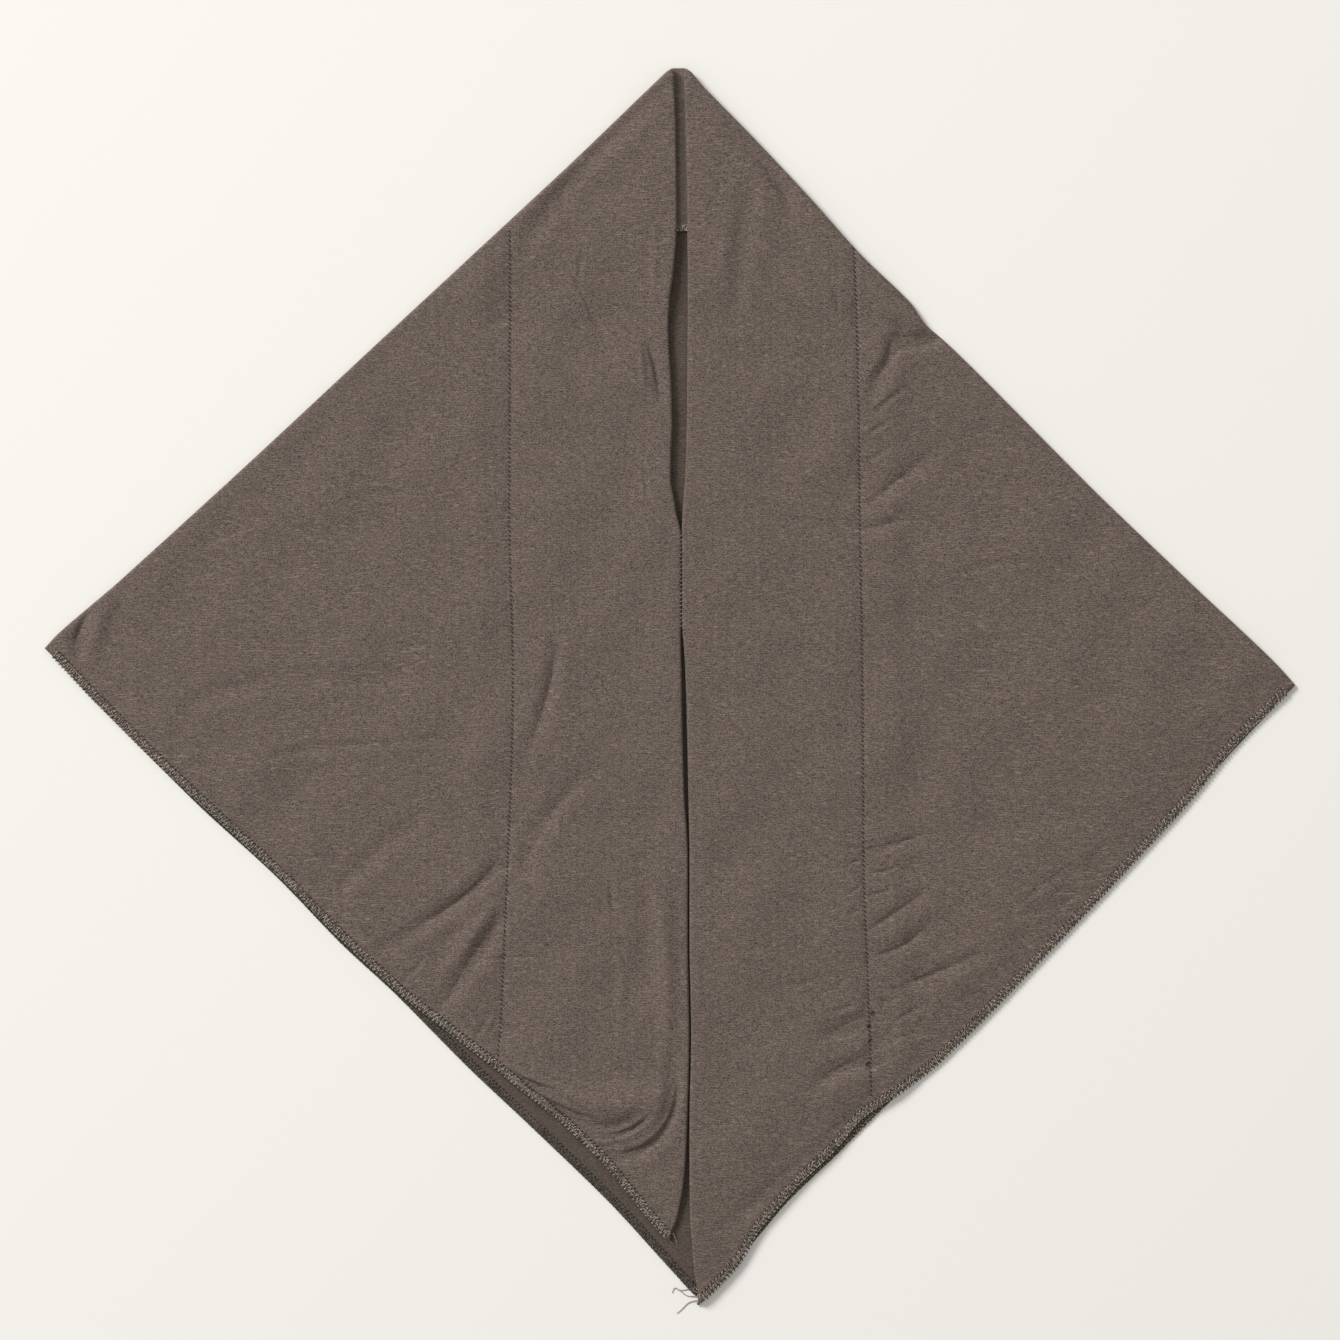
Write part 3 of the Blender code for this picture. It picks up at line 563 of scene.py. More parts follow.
# Rows: start, through, end, half width, rise; the back's own creases, which both its faces show
BACK_CREASES = [
    ((-98, -248), (-78, -262), (-60, -267), 3.0, 0.5),
    ((-86, -232), (-75, -242), (-66, -245), 2.5, 0.4),
    ((-230, 10), (-120, 60), (-30, 40), 9.0, 0.5),
    ((-160, -120), (-90, -60), (-70, 30), 8.0, 0.5),
    ((40, 40), (120, 20), (240, 60), 9.0, 0.5),
    ((20, -240), (80, -190), (160, -150), 8.0, 0.5),
    ((-40, 120), (10, 190), (30, 280), 8.0, 0.4),
    ((150, -60), (230, -40), (300, 10), 7.0, 0.5),
    ((-300, -10), (-240, -60), (-190, -100), 6.0, 0.5),
]


def edge_points(start, end, bows, share, inside=False):
    """Points of a bowed edge at shares of its length, or of a line inside its dents."""
    start, end, share = np.array(start), np.array(end), np.atleast_1d(share)
    nearby = DENT_SHARES if inside else (0.0,)
    bow = np.min([read_table(bows, share + shift, 1) for shift in nearby], axis=0)
    line = start + np.outer(share, end - start)
    return (line + np.outer(bow, outward(start, end, MIDDLE))) * MM


def inset_fold(side, share):
    """Points of a fold's inner line, from the side corner up to the crown."""
    corner, bows = (LEFT_CORNER, LEFT_FOLD) if side < 0 else (RIGHT_CORNER, RIGHT_FOLD)
    end = CROWN_LEFT if side < 0 else CROWN_RIGHT
    share = np.atleast_1d(share)
    point = edge_points(corner, end, bows, share, inside=True)
    point = point - outward(corner, end, MIDDLE) * FOLD_INSET
    near_crown = (share**8)[:, None]
    return point * (1.0 - near_crown) + np.array(CROWN_MIDDLE) * MM * near_crown


def back_hem(side, share):
    """Points of one of the back's hems, from the side corner to the tip."""
    corner, bows = (LEFT_CORNER, LEFT_HEM) if side < 0 else (RIGHT_CORNER, RIGHT_HEM)
    crown = CROWN_LEFT if side < 0 else CROWN_RIGHT
    share = np.atleast_1d(share)
    inner = np.outer(1.0 - share, outward(corner, crown, MIDDLE) * FOLD_INSET)
    return edge_points(corner, BACK_TIP, bows, share) - inner


def bordered_sheet(name, across, along, edges, level, creases=()):
    """Sheet between left, right, bottom and top edges, each a function of shares."""
    left, right, bottom, top = edges
    u, v = np.linspace(0.0, 1.0, across + 1), np.linspace(0.0, 1.0, along + 1)
    sides = (left(v), right(v))
    ends = (bottom(u), top(u))
    bm = bmesh.new()
    rows = []
    for j in range(along + 1):
        point = np.outer(1 - u, sides[0][j]) + np.outer(u, sides[1][j])
        point = point + (1 - v[j]) * ends[0] + v[j] * ends[1]
        point = point - np.outer(1 - u, (1 - v[j]) * sides[0][0] + v[j] * sides[0][-1])
        point = point - np.outer(u, (1 - v[j]) * sides[1][0] + v[j] * sides[1][-1])
        height = level(point) + CLOTH_WALL + np.clip(crease_height(creases, point), 0.0, None)
        rows.append([bm.verts.new((x, y, z)) for (x, y), z in zip(point, height)])
    for low, high in zip(rows, rows[1:]):
        for i in range(across):
            bm.faces.new((low[i], low[i + 1], high[i + 1], high[i]))
    piece = cloth_piece(name, bm)
    print(name, "has", across * along, "cells")
    return piece


back_cloth = bordered_sheet(
    "back_cloth", BACK_CELLS, BACK_CELLS,
    (
        lambda v: back_hem(-1, 1.0 - v),
        lambda v: inset_fold(1, v),
        lambda u: back_hem(1, 1.0 - u),
        lambda u: inset_fold(-1, u),
    ),
    lambda point: np.zeros(len(point)), BACK_CREASES,
)

# %% [markdown]
# The facing is the scarf's long edge turned under by about 100 mm and sewn down. It shows only in
# the face opening, where its overlocked edge crosses the back. Its three stretches lie between the
# back and the fronts, so each is a flat piece that stops short of the folds round it.

# %% The three stretches of the facing
def crossing(rising, wanted, low, high):
    """Place between low and high at which a rising function passes a wanted value."""
    for _ in range(30):
        middle = 0.5 * (low + high)
        low, high = (middle, high) if rising(middle) < wanted else (low, middle)
    return 0.5 * (low + high)


CROWN_RAISE = 1.1 * MM


def make_crown_facing():
    """The facing across the crown, from its overlocked edge up to the crown."""
    lower, upper, lift = FACING_CROWN_EDGE * MM, CROWN_MIDDLE[1] * MM - GAP, 4.0 * GAP

    def side_edge(side, v):
        v = np.atleast_1d(v)
        low = crossing(lambda share: inset_fold(side, share)[0, 1], lower + lift, 0.0, 1.0)
        high = crossing(lambda share: inset_fold(side, share)[0, 1], upper, 0.0, 1.0)
        across = side * (CROWN_TONGUE * MM * v**4 + CROWN_CORNER * MM * v**16)
        rise = CROWN_RAISE * v**8 - lift * (1.0 - v)
        return inset_fold(side, low + v * (high - low)) + np.column_stack([across, rise])

    def level_edge(v, u):
        left, right = side_edge(-1, v), side_edge(1, v)
        return np.outer(1 - u, left) + np.outer(u, right)

    edges = (
        lambda v: side_edge(-1, v),
        lambda v: side_edge(1, v),
        lambda u: level_edge(0.0, u),
        lambda u: level_edge(1.0, u),
    )
    return bordered_sheet(
        "facing_crown_cloth", 90, 50, edges, lambda point: np.full(len(point), LAYER),
        [((6.4, 238), (6.3, 290), (5.6, 356), 2.6, 1.1)],
    )


def make_side_facing(name, front):
    """The facing below a front, from its centre fold to its stitch line."""
    side, corner, tip = front.side, front.corner / MM, front.tip / MM

    def centre_line(up):
        nearby = [side * centre_fold(side, up + shift * MM) for shift in CENTRE_SHIFTS_MM]
        return side * (np.max(nearby, axis=0) + CENTRE_INSET)

    def hem_line(share):
        return edge_points(corner, tip, front.hem_bows, share) - front.hem_out * HEM_TO_FACING * MM

    def fold_line(share):
        return inset_fold(side, share)

    def span(line):
        def past(share, place):
            x, y = line(share)[0]
            return -side * (x - float(np.ravel(place(y))[0]))

        stitched = crossing(lambda q: past(q, lambda y: stitch_line(side, y)), 0.0, 0.5, 1.0)
        centred = crossing(lambda q: past(q, lambda y: centre_line(y)), 0.0, 0.5, 1.0)
        return stitched, centred

    hem_outer, hem_inner = span(hem_line)
    fold_outer, fold_inner = span(fold_line)

    def side_edge(low, high, place, v):
        up = low[0, 1] + v * (high[0, 1] - low[0, 1])
        return np.column_stack([place(up), up])

    edges = (
        lambda v: side_edge(hem_line(hem_inner), fold_line(fold_inner), centre_line, v),
        lambda v: side_edge(
            hem_line(hem_outer), fold_line(fold_outer), lambda y: stitch_line(side, y), v
        ),
        lambda u: hem_line(hem_inner + u * (hem_outer - hem_inner)),
        lambda u: fold_line(fold_inner + u * (fold_outer - fold_inner)),
    )
    return bordered_sheet(
        name, 24, 150, edges, lambda point: LAYER * (1.0 + crown_layers(point[:, 1]))
    )


facing_crown_cloth = make_crown_facing()
facing_left_cloth = make_side_facing("facing_left_cloth", fronts["front_left"])
facing_right_cloth = make_side_facing("facing_right_cloth", fronts["front_right"])

# %% [markdown]
# The real cloth is single jersey knitted from viscose with slubs, thick places in the yarn. Its
# courses run across the scarf, so it reads as a fine level grain with short paler flecks, where a
# slub lies in the course. Bent waves and noise stretched along X make them from the cloth's own
# place, so they stay put from any side. Real courses are about 0.5 mm apart, finer than a pixel,
# so they are drawn at 1.45 mm, with fainter wales at 1.7 mm across them.

# %% Knit finishes
def linear(colour):
    """Linear colour of an sRGB hex value."""
    parts = [int(colour[k : k + 2], 16) / 255.0 for k in (1, 3, 5)]
    parts = [p / 12.92 if p <= 0.04045 else ((p + 0.055) / 1.055) ** 2.4 for p in parts]
    return (*parts, 1.0)


def add(tree, kind, settings, links):
    """Add a node: settings are its own properties, links are values or sockets for its inputs."""
    node = tree.nodes.new(kind)
    for name, value in settings.items():
        setattr(node, name, value)
    for name, value in links.items():
        if isinstance(value, bpy.types.NodeSocket):
            tree.links.new(value, node.inputs[name])
        else:
            node.inputs[name].default_value = value
    return node


def per_metre(*sizes_mm):
    """Pattern scale for marks of these sizes along X, Y and Z."""
    return tuple(1.0 / (size * MM) for size in sizes_mm)


# A Wave Texture runs through 20 radians in each unit of its vector
WAVE_SHARE = 20.0 / (2.0 * math.pi)
# Waves of the knit: direction, pitch in millimetres and weight
KNIT_WAVES = (("Y", 1.45, 0.20), ("X", 1.7, 0.07))
# Fibre noise: sizes along X, Y and Z in millimetres and weight
FIBRES = (((1.0, 0.4, 1.0), 0.34), ((0.45, 0.45, 0.45), 0.44))
SLUB_SIZES = (5.0, 0.4, 5.0)


def jersey(name, dark, pale, roughness, relief_mm):
    """Slubbed jersey: matt, streaked across the scarf, with a low knitted relief."""
    material = bpy.data.materials.new(name)
    material.use_nodes = True
    tree = material.node_tree
    shader = tree.nodes["Principled BSDF"]
    place = add(tree, "ShaderNodeTexCoord", {}, {}).outputs["Object"]
    layers = []
    for direction, pitch_mm, weight in KNIT_WAVES:
        size = pitch_mm * WAVE_SHARE
        grid = add(
            tree, "ShaderNodeMapping", {}, {"Vector": place, "Scale": per_metre(size, size, size)}
        )
        loops = add(
            tree, "ShaderNodeTexWave", {"bands_direction": direction},
            {
                "Vector": grid.outputs[0], "Scale": 1.0, "Distortion": 9.0, "Detail": 1.0,
                "Detail Scale": 3.0, "Detail Roughness": 0.5,
            },
        )
        layers.append((loops.outputs["Fac"], weight))
    for size, weight in FIBRES:
        grid = add(tree, "ShaderNodeMapping", {}, {"Vector": place, "Scale": per_metre(*size)})
        fibre = add(
            tree, "ShaderNodeTexNoise", {}, {"Vector": grid.outputs[0], "Scale": 1.0, "Detail": 0.0}
        )
        layers.append((fibre.outputs[0], weight))
    total = 0.0
    for value, weight in layers:
        total = add(
            tree, "ShaderNodeMath", {"operation": "MULTIPLY_ADD"}, {0: value, 1: weight, 2: total}
        ).outputs[0]
    grid = add(
        tree, "ShaderNodeMapping", {}, {"Vector": place, "Scale": per_metre(*SLUB_SIZES)}
    )
    slub = add(
        tree, "ShaderNodeTexNoise", {},
        {"Vector": grid.outputs[0], "Scale": 1.0, "Detail": 0.0, "Roughness": 0.5},
    )
    fleck = add(
        tree, "ShaderNodeMapRange", {"clamp": True},
        {"Value": slub.outputs[0], "From Min": 0.66, "From Max": 0.74, "To Max": 0.35},
    )
    total = add(
        tree, "ShaderNodeMath", {"operation": "ADD"}, {0: total, 1: fleck.outputs[0]}
    ).outputs[0]
    spread = add(
        tree, "ShaderNodeMapRange", {"clamp": True},
        {"Value": total, "From Min": 0.32, "From Max": 0.78},
    ).outputs[0]
    colour = add(
        tree, "ShaderNodeMix", {"data_type": "RGBA"}, {0: spread, 6: linear(dark), 7: linear(pale)}
    )
    tree.links.new(colour.outputs[2], shader.inputs["Base Color"])
    relief = add(
        tree, "ShaderNodeBump", {},
        {"Height": spread, "Distance": relief_mm * MM, "Strength": 0.6},
    )
    tree.links.new(relief.outputs[0], shader.inputs["Normal"])
    shader.inputs["Roughness"].default_value = roughness
    shader.inputs["IOR"].default_value = 1.45
    shader.inputs["Sheen Weight"].default_value = 0.08
    shader.inputs["Sheen Roughness"].default_value = 0.5
    return material


# Viscose jersey, right side: warm grey-brown with a dry, faintly soft surface
front_jersey = jersey("slubbed_viscose_jersey_right_side", "#342B27", "#88786F", 0.85, 0.12)
# Its wrong side, seen in the opening and below the hems: plainer, and darker, partly by its own
# tone and partly as painted shade of the deep opening
back_jersey = jersey("slubbed_viscose_jersey_wrong_side_painted_shade", "#3E342D", "#6A5E55", 0.92, 0.06)
# The facing's right side faces into the opening, paler than the wrong side; part of that paleness
# is painted light, against the shadow that the left front casts on it
facing_jersey = jersey("slubbed_viscose_jersey_facing_painted_light", "#50463F", "#887A6F", 0.88, 0.08)

for piece, finish in (
    (front_left_cloth, front_jersey), (front_right_cloth, front_jersey),
    (back_cloth, back_jersey), (facing_crown_cloth, facing_jersey),
    (facing_left_cloth, facing_jersey), (facing_right_cloth, facing_jersey),
):
    piece.data.materials.append(finish)
print("Knit finishes:", front_jersey.name, back_jersey.name, facing_jersey.name)

# %% [markdown]
# The sewing follows paths on the cloth: two straight rows of lockstitch that hold the facing, an
# overlocked band along every cut edge with a dark row of needle thread inside it, on the fronts a
# row of dark thread at the cut that is painted shadow, and the few stitches of the chin seam. One
# stitch repeated along a path is a rule, so Geometry Nodes make it: the path is resampled at the
# stitch length and one stitch of thread is set at each point, with a little seeded unevenness.

# %% Node trees for stitches along a path
def stitch_tree(name, strands, sides):
    """Tree that sets one stitch, made of bent strands of thread, along a path of edges."""
    tree = bpy.data.node_groups.new(name, "GeometryNodeTree")
    face = tree.interface
    face.new_socket("Geometry", in_out="OUTPUT", socket_type="NodeSocketGeometry")
    face.new_socket("Geometry", in_out="INPUT", socket_type="NodeSocketGeometry")
    for label in ("Stitch Length", "Stitch Width", "Stitch Height", "Thread Radius", "Turn"):
        face.new_socket(label, in_out="INPUT", socket_type="NodeSocketFloat")
    face.new_socket("Seed", in_out="INPUT", socket_type="NodeSocketInt")
    face.new_socket("Thread", in_out="INPUT", socket_type="NodeSocketMaterial")
    given = add(tree, "NodeGroupInput", {}, {}).outputs
    join = add(tree, "GeometryNodeJoinGeometry", {}, {})
    for start, middle, end in strands:
        strand = add(
            tree, "GeometryNodeCurveQuadraticBezier", {},
            {"Start": start, "Middle": middle, "End": end, "Resolution": 4},
        )
        tree.links.new(strand.outputs[0], join.inputs[0])
    size = add(
        tree, "ShaderNodeCombineXYZ", {},
        {"X": given["Stitch Length"], "Y": given["Stitch Width"], "Z": given["Stitch Height"]},
    )
    shaped = add(
        tree, "GeometryNodeTransform", {}, {"Geometry": join.outputs[0], "Scale": size.outputs[0]}
    )
    round_thread = add(
        tree, "GeometryNodeCurvePrimitiveCircle", {},
        {"Resolution": sides, "Radius": given["Thread Radius"]},
    )
    stitch = add(
        tree, "GeometryNodeCurveToMesh", {},
        {"Curve": shaped.outputs[0], "Profile Curve": round_thread.outputs[0], "Fill Caps": True},
    )
    path = add(tree, "GeometryNodeMeshToCurve", {}, {"Mesh": given["Geometry"]})
    spaced = add(
        tree, "GeometryNodeResampleCurve", {"mode": "LENGTH"},
        {"Curve": path.outputs[0], "Length": given["Stitch Length"]},
    )
    along = add(tree, "GeometryNodeInputTangent", {}, {})
    aligned = add(
        tree, "FunctionNodeAlignRotationToVector", {"axis": "X", "pivot_axis": "Z"},
        {"Vector": along.outputs[0]},
    )
    wobble = add(
        tree, "FunctionNodeRandomValue", {"data_type": "FLOAT"},
        {2: -0.10, 3: 0.10, "Seed": given["Seed"]},
    )
    turn = add(
        tree, "ShaderNodeMath", {"operation": "ADD"}, {0: wobble.outputs[1], 1: given["Turn"]}
    )
    spin = add(tree, "ShaderNodeCombineXYZ", {}, {"Z": turn.outputs[0]})
    turned = add(
        tree, "FunctionNodeRotateRotation", {"rotation_space": "LOCAL"},
        {"Rotation": aligned.outputs[0], "Rotate By": spin.outputs[0]},
    )
    uneven = add(
        tree, "FunctionNodeRandomValue", {"data_type": "FLOAT_VECTOR"},
        {0: (0.90, 0.93, 0.75), 1: (1.10, 1.05, 1.20), "Seed": given["Seed"]},
    )
    placed = add(
        tree, "GeometryNodeInstanceOnPoints", {},
        {
            "Points": spaced.outputs[0], "Instance": stitch.outputs[0],
            "Rotation": turned.outputs[0], "Scale": uneven.outputs[0],
        },
    )
    real = add(tree, "GeometryNodeRealizeInstances", {}, {"Geometry": placed.outputs[0]})
    smooth = add(tree, "GeometryNodeSetShadeSmooth", {}, {"Geometry": real.outputs[0]})
    thread = add(
        tree, "GeometryNodeSetMaterial", {},
        {"Geometry": smooth.outputs[0], "Material": given["Thread"]},
    )
    out = add(tree, "NodeGroupOutput", {}, {})
    tree.links.new(thread.outputs[0], out.inputs[0])
    return tree


# Strands in shares of the stitch: X along the path, Y into the cloth, Z up
# Lockstitch: one short float of thread that dips into the cloth at both ends
LOCKSTITCH = stitch_tree(
    "lockstitch", [((-0.27, -0.5, -0.3), (0.0, 0.0, 1.4), (0.27, 0.5, -0.3))], 5
)
# Overlock: a loop out over the edge and back, the needle's float, and the purl at the edge
OVERLOCK = stitch_tree(
    "overlock",
    [
        ((-0.42, 1.00, 0.0), (-0.30, 0.35, 1.7), (0.06, -0.03, -0.2)),
        ((0.06, -0.03, -0.2), (0.22, 0.60, 1.6), (0.50, 1.00, 0.0)),
        ((-0.34, 0.93, 0.3), (0.00, 0.98, 1.5), (0.34, 1.03, 0.3)),
        ((-0.50, 0.02, 0.1), (0.00, -0.07, 1.2), (0.50, 0.02, 0.1)),
    ],
    4,
)
print("Stitch trees:", LOCKSTITCH.name, OVERLOCK.name)

# %% [markdown]
# Sewing thread here is spun polyester. The facing's thread is dark and sinks into the soft knit, so
# it reads as dark slanted dashes; its near-black colour is partly painted shade of the stitch
# holes, and the same thread draws the painted shadow row at the front hems' cut edges. The
# overlock's fluffy looper thread is paler than the cloth on the right side, with darker patches
# that are partly painted shade between its loops, and shows grey-green where the hem is seen from
# inside.

# %% Thread finishes
def thread(name, colour, pale, roughness):
    """Spun polyester thread, uneven along its length; on the looper thread the darker end is partly
    painted shade between the loops.
    """
    material = bpy.data.materials.new(name)
    material.use_nodes = True
    tree = material.node_tree
    shader = tree.nodes["Principled BSDF"]
    place = add(tree, "ShaderNodeTexCoord", {}, {}).outputs["Object"]
    grid = add(
        tree, "ShaderNodeMapping", {}, {"Vector": place, "Scale": per_metre(1.0, 1.0, 1.0)}
    )
    noise = add(
        tree, "ShaderNodeTexNoise", {}, {"Vector": grid.outputs[0], "Scale": 1.0, "Detail": 1.0}
    )
    spread = add(
        tree, "ShaderNodeMapRange", {"clamp": True},
        {"Value": noise.outputs[0], "From Min": 0.40, "From Max": 0.60},
    )
    mixed = add(
        tree, "ShaderNodeMix", {"data_type": "RGBA"},
        {0: spread.outputs[0], 6: linear(colour), 7: linear(pale)},
    )
    tree.links.new(mixed.outputs[2], shader.inputs["Base Color"])
    shader.inputs["Roughness"].default_value = roughness
    shader.inputs["Sheen Weight"].default_value = 0.1
    return material


# Near-black thread: partly painted shade of the stitch holes, and the painted shadow row at the
# hems
dark_thread_and_painted_shade = thread("spun_polyester_thread_dark_and_painted_shade", "#171312", "#2B2523", 0.85)
# Looper thread: its darker patches are partly painted shade between the loops
looper_thread_with_painted_shade = thread("spun_polyester_looper_thread_with_painted_shade", "#443D36", "#BDB2A3", 0.75)
inner_thread = thread("spun_polyester_looper_thread_inside", "#23221F", "#716E63", 0.8)
pale_thread = thread("spun_polyester_looper_thread_pale", "#6E655B", "#D2C8B9", 0.75)
tail_thread = thread("spun_polyester_thread_tail", "#6F675F", "#A59C92", 0.75)

# %% Paths for the sewing
STITCH_LIFT = 0.05 * MM
PATH_POINTS = 600


def front_surface(front, points):
    """Heights of a front's outer face at plan points, by inverting its lattice."""
    solve = np.linalg.inv(np.column_stack([front.crown - front.corner, front.tip - front.corner]))
    shares = (points - front.corner) @ solve.T
    for _ in range(25):
        shares = shares - (front.place(shares[:, 0], shares[:, 1]) - points) @ solve.T
    shares = np.clip(shares, 0.0, 1.0)
    return front.top(points, shares[:, 0], shares[:, 1])


def path_mesh(name, points):
    """Object whose edges run through these points."""
    mesh = bpy.data.meshes.new(name)
    mesh.from_pydata([tuple(p) for p in points], [(k, k + 1) for k in range(len(points) - 1)], [])
    return bpy.data.objects.new(name, mesh)


sewing = []


def sew(name, tree, points, finish, material, values):
    """Set a tree's stitch along a path and turn the result into a plain mesh."""
    path = path_mesh(name + "_path", points)
    bpy.context.scene.collection.objects.link(path)
    modifier = path.modifiers.new("stitches", "NODES")
    modifier.node_group = tree
    for item in tree.interface.items_tree:
        if item.in_out == "INPUT" and item.name in values:
            modifier[item.identifier] = values[item.name]
        elif item.in_out == "INPUT" and item.name == "Thread":
            modifier[item.identifier] = material
    graph = bpy.context.evaluated_depsgraph_get()
    mesh = bpy.data.meshes.new_from_object(path.evaluated_get(graph), depsgraph=graph)
    mesh.name = name
    bpy.data.objects.remove(path, do_unlink=True)
    piece = bpy.data.objects.new(name, mesh)
    bpy.context.scene.collection.objects.link(piece)
    sewing.append((piece, finish))
    print(name, "has", len(mesh.polygons), "faces")
    return piece


def facing_stitches(side, top_mm, bottom_mm):
    """Points of one facing stitch row, from its top to the hem, on the front's surface."""
    up = np.linspace(top_mm, bottom_mm, 500) * MM
    points = np.column_stack([stitch_line(side, up), up])
    front = fronts["front_left" if side < 0 else "front_right"]
    return np.column_stack([points, front_surface(front, points) + STITCH_LIFT])


def front_hem(front, low, high):
    """Points of a front's hem between two shares, on its outer face's edge."""
    share = np.linspace(low, high, PATH_POINTS)
    zero = np.zeros_like(share)
    points = front.place(zero, share)
    return np.column_stack([points, front.top(points, zero, share) + STITCH_LIFT])


def front_needle_row(front, low, high, inset):
    """Points of a row on a front's outer face, a little inside its hem."""
    share = np.linspace(low, high, PATH_POINTS)
    points = front.place(np.zeros_like(share), share) - front.hem_out * inset
    return np.column_stack([points, front_surface(front, points) + STITCH_LIFT])


def flat_path(points, height):
    """Plan points at one height."""
    return np.column_stack([points, np.full(len(points), height)])


# %% Sew the facing, the hems and the chin
lock = {
    "Stitch Length": 2.75 * MM, "Stitch Width": 1.3 * MM, "Stitch Height": 0.36 * MM,
    "Thread Radius": 0.38 * MM, "Turn": 0.0,
}
sew("front_left_facing_stitches", LOCKSTITCH, facing_stitches(-1, 272, -221), "front_jersey",
    dark_thread_and_painted_shade, {**lock, "Seed": 1})
sew("front_right_facing_stitches", LOCKSTITCH, facing_stitches(1, 262, -245), "front_jersey",
    dark_thread_and_painted_shade, {**lock, "Seed": 2})

band = {
    "Stitch Length": 2.6 * MM, "Stitch Width": 4.2 * MM, "Stitch Height": 0.45 * MM,
    "Thread Radius": 0.25 * MM, "Turn": 0.0,
}
sew("front_left_hem", OVERLOCK, front_hem(fronts["front_left"], 0.012, 0.993), "front_jersey",
    looper_thread_with_painted_shade, {**band, "Seed": 3})
sew("front_right_hem", OVERLOCK, front_hem(fronts["front_right"], 0.993, 0.012),
    "front_jersey", looper_thread_with_painted_shade, {**band, "Seed": 4})
hem_share = np.linspace(0.01, 0.995, PATH_POINTS)
back_height = CLOTH_WALL + STITCH_LIFT
sew("back_hem_left", OVERLOCK, flat_path(back_hem(-1, hem_share), back_height),
    "back_jersey", inner_thread, {**band, "Seed": 5})
# The right back hem takes the pale looper thread as painted light, on a strip that the right front
# shades
sew("back_hem_right", OVERLOCK, flat_path(back_hem(1, hem_share[::-1]), back_height),
    "back_jersey", looper_thread_with_painted_shade, {**band, "Seed": 6})
needle = {
    "Stitch Length": 2.6 * MM, "Stitch Width": 1.0 * MM, "Stitch Height": 0.40 * MM,
    "Thread Radius": 0.40 * MM, "Turn": 0.35,
}
# The band's dark rows: needle thread inside it, and at the cut a row of dark thread as painted
# shadow
NEEDLE_INSET = 4.3 * MM
SHADOW_LINE_INSET = -0.1 * MM
# The chin's stitches sink this far into the groove
CHIN_SINK = 0.25 * MM
for name, low, high, seed in (("front_left", 0.012, 0.990, 8), ("front_right", 0.990, 0.012, 9)):
    for row, inset in (("needle_row", NEEDLE_INSET), ("purl_row", SHADOW_LINE_INSET)):
        sew(f"{name}_{row}", LOCKSTITCH, front_needle_row(fronts[name], low, high, inset),
            "front_jersey", dark_thread_and_painted_shade, {**needle, "Seed": seed})
for name, side, corner, share, seed in (
    ("back_needle_row_left", -1, LEFT_CORNER, hem_share, 10),
    ("back_needle_row_right", 1, RIGHT_CORNER, hem_share[::-1], 11),
):
    row = back_hem(side, share) - outward(corner, BACK_TIP, MIDDLE) * NEEDLE_INSET
    sew(name, LOCKSTITCH, flat_path(row, back_height), "back_jersey", dark_thread_and_painted_shade,
        {**needle, "Seed": seed})
# The chin seam draws the two folds together with short stitches across the groove
chin_up = np.linspace(90.0, 36.0, 120) * MM
left_fold = np.column_stack([centre_fold(-1, chin_up) - CENTRE_REACH, chin_up])
chin_path = np.column_stack([
    0.5 * (centre_fold(-1, chin_up) + centre_fold(1, chin_up)), chin_up,
    front_surface(fronts["front_left"], left_fold) - CHIN_SINK,
])
sew("front_left_chin_seam", LOCKSTITCH, chin_path, "front_jersey", tail_thread, {
    "Stitch Length": 2.4 * MM, "Stitch Width": 0.5 * MM, "Stitch Height": 0.40 * MM,
    "Thread Radius": 0.24 * MM, "Turn": 1.35, "Seed": 12,
})
crown_edge = np.column_stack([
    np.linspace(-90.0, 88.0, 200) * MM, np.full(200, FACING_CROWN_EDGE * MM)
])
sew("facing_crown_hem", OVERLOCK, flat_path(crown_edge, LAYER + CLOTH_WALL + 0.3 * MM),
    "facing_jersey", pale_thread, {**band, "Stitch Width": 3.4 * MM, "Seed": 7})

# %% [markdown]
# Short tails of overlock thread are left at the tip and at the left front's corner. They are bent
# tubes drawn through a few points, lying on the ground or the back. So are the dark thread end at
# the tip, the knot below the chin seam and four stitches pulled tight low on the right facing line.

# %% Thread tails
TAIL_RADIUS = 0.28 * MM
# Rows: piece, points (across, up, height) in millimetres
TAILS = [
    ("back_tail_upper", [(14.6, -360.8, 0.9), (12.0, -361.5, 0.4), (9.6, -362.3, 0.3),
                         (5.4, -362.4, 0.3), (3.0, -361.2, 0.4), (1.2, -364.2, 0.3)]),
    ("back_tail_middle", [(17.0, -366.0, 0.9), (13.8, -366.2, 0.4), (10.8, -366.0, 0.3),
                          (8.2, -364.6, 0.5), (6.3, -362.8, 0.9), (4.4, -361.8, 0.8)]),
    ("back_tail_lower", [(16.6, -368.6, 0.9), (13.4, -369.2, 0.4), (11.4, -370.0, 0.3),
                         (8.4, -372.6, 0.3), (6.4, -374.6, 0.3), (4.2, -376.4, 0.3)]),
    ("front_left_tail_upper", [(0.4, -327.6, 2.4), (2.0, -328.6, 2.2), (3.0, -330.6, 1.8),
                               (4.2, -333.6, 1.5)]),
    ("front_left_tail_lower", [(-1.4, -330.6, 2.3), (-0.2, -332.2, 1.9), (1.0, -333.8, 1.6),
                               (2.0, -334.6, 1.5)]),
]
# Stitches pulled tight low on the right facing line: place across and up in millimetres
PUCKERED = [(121.0, -195.8), (118.7, -203.5), (119.3, -212.4), (118.0, -226.3)]


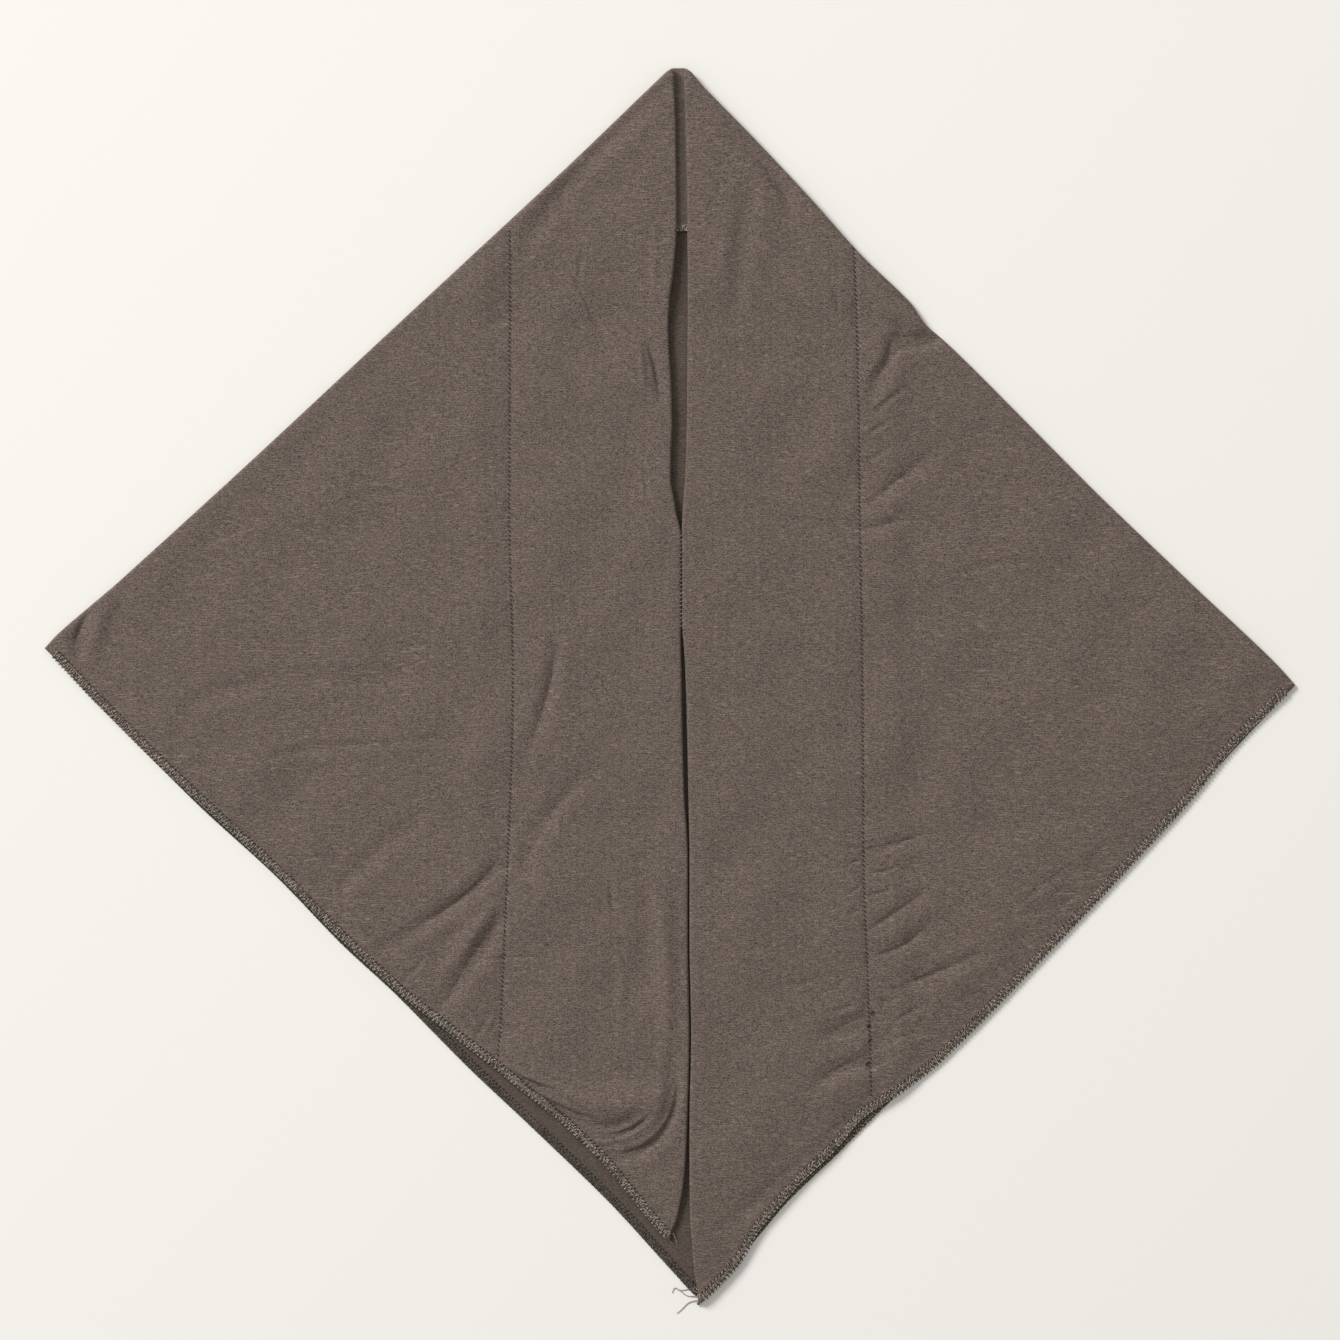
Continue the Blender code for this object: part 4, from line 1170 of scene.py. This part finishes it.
def tube(name, points_mm, radius, material, finish, taper=1.0):
    """A tube of thread through a few points, narrowing to its end."""
    curve = bpy.data.curves.new(name, "CURVE")
    curve.dimensions = "3D"
    curve.bevel_depth = radius
    curve.bevel_resolution = 2
    curve.use_fill_caps = True
    spline = curve.splines.new("BEZIER")
    spline.bezier_points.add(len(points_mm) - 1)
    for k, (knot, place) in enumerate(zip(spline.bezier_points, points_mm)):
        knot.co = [value * MM for value in place]
        knot.handle_left_type = knot.handle_right_type = "AUTO"
        knot.radius = 1.0 + (taper - 1.0) * k / (len(points_mm) - 1)
    source = bpy.data.objects.new(name, curve)
    bpy.context.scene.collection.objects.link(source)
    graph = bpy.context.evaluated_depsgraph_get()
    mesh = bpy.data.meshes.new_from_object(source.evaluated_get(graph), depsgraph=graph)
    bpy.data.objects.remove(source, do_unlink=True)
    mesh.name = name
    mesh.materials.clear()
    mesh.materials.append(material)
    mesh.shade_smooth()
    piece = bpy.data.objects.new(name, mesh)
    bpy.context.scene.collection.objects.link(piece)
    sewing.append((piece, finish))
    return piece


for name, points_mm in TAILS:
    tube(name, points_mm, TAIL_RADIUS, tail_thread, "front_jersey", 0.7)
tube(
    "front_right_tip_end", [(18.0, -366.0, 2.2), (17.6, -368.6, 1.8), (16.9, -371.0, 1.1)],
    1.0 * MM, inner_thread, "front_jersey", 0.8,
)
tube(
    "front_left_chin_knot", [(5.9, 34.4, 4.3), (6.9, 33.6, 4.9), (8.1, 34.8, 4.3)],
    0.50 * MM, dark_thread_and_painted_shade, "front_jersey",
)
for k, (across, up) in enumerate(PUCKERED):
    tube(f"front_right_puckered_stitch_{k}",
         [(across - 0.6, up - 0.9, 3.0), (across, up, 3.9), (across + 0.8, up + 1.0, 3.0)],
         0.45 * MM, dark_thread_and_painted_shade, "front_jersey")
print(len(TAILS), "thread tails, the dark end at the tip and the knot below the chin")

# %% [markdown]
# The ground is a plain pale sheet of paper, and the light is a large soft lamp at the upper left
# with an even, slightly warm sky, as in the photograph: the ground is a little brighter at the
# upper left, and the shadows fall softly to the lower right. The camera looks straight down.

# %% Ground, light and camera
PAPER = "#F8F6F3"
SKY = "#FFFCF8"
VIEW_WIDTH = 0.804
VIEW_CENTRE = (0.0, 0.0096)
CAMERA_HEIGHT = 2.6

ground_mesh = bpy.data.meshes.new("ground")
reach = 3.0
ground_mesh.from_pydata(
    [(-reach, -reach, 0.0), (reach, -reach, 0.0), (reach, reach, 0.0), (-reach, reach, 0.0)],
    [], [(0, 1, 2, 3)],
)
ground_mesh.transform(Matrix.Translation((0.0, 0.0, -0.05 * MM)))
ground = bpy.data.objects.new("ground", ground_mesh)
bpy.context.scene.collection.objects.link(ground)
paper = bpy.data.materials.new("matt_paper")
paper.use_nodes = True
paper_shader = paper.node_tree.nodes["Principled BSDF"]
paper_shader.inputs["Base Color"].default_value = linear(PAPER)
paper_shader.inputs["Roughness"].default_value = 1.0
paper_shader.inputs["Specular IOR Level"].default_value = 0.0
ground_mesh.materials.append(paper)

world = bpy.data.worlds.new("soft_sky")
bpy.context.scene.world = world
world.use_nodes = True
sky = world.node_tree.nodes["Background"]
sky.inputs["Color"].default_value = linear(SKY)
sky.inputs["Strength"].default_value = 0.47

lamp_data = bpy.data.lights.new("window", "AREA")
lamp_data.shape = "SQUARE"
lamp_data.size = 3.0
lamp_data.energy = 666.0
lamp_data.color = (1.0, 0.99, 0.975)
lamp = bpy.data.objects.new("window", lamp_data)
lamp.location = (-5.5, 4.6, 4.8)
lamp.rotation_euler = (-lamp.location).to_track_quat("-Z", "Y").to_euler()
bpy.context.scene.collection.objects.link(lamp)

camera_data = bpy.data.cameras.new("above")
camera_data.sensor_width = 36.0
camera_data.lens = camera_data.sensor_width * CAMERA_HEIGHT / VIEW_WIDTH
camera_data.clip_start, camera_data.clip_end = 0.1, 20.0
camera = bpy.data.objects.new("above", camera_data)
camera.location = (*VIEW_CENTRE, CAMERA_HEIGHT)
bpy.context.scene.collection.objects.link(camera)
bpy.context.scene.camera = camera
bpy.context.scene.view_settings.view_transform = "Standard"
print("Camera", CAMERA_HEIGHT, "m up, lens", round(camera_data.lens, 1), "mm")

# %% [markdown]
# Each finished piece is told which body it moves with, and each cloth piece hides the solid that it
# stands for. The sewing moves with the same body as the cloth.


def settle(piece, node):
    """A cloth piece rides on the scarf and stands for its solid."""
    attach(piece, "root")
    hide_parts(node)


settle(back_cloth, "back_panel")
settle(front_left_cloth, "front_left")
settle(front_right_cloth, "front_right")
settle(facing_crown_cloth, "facing_crown")
settle(facing_left_cloth, "facing_left")
settle(facing_right_cloth, "facing_right")
for piece, finish in sewing:
    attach(piece, "root")
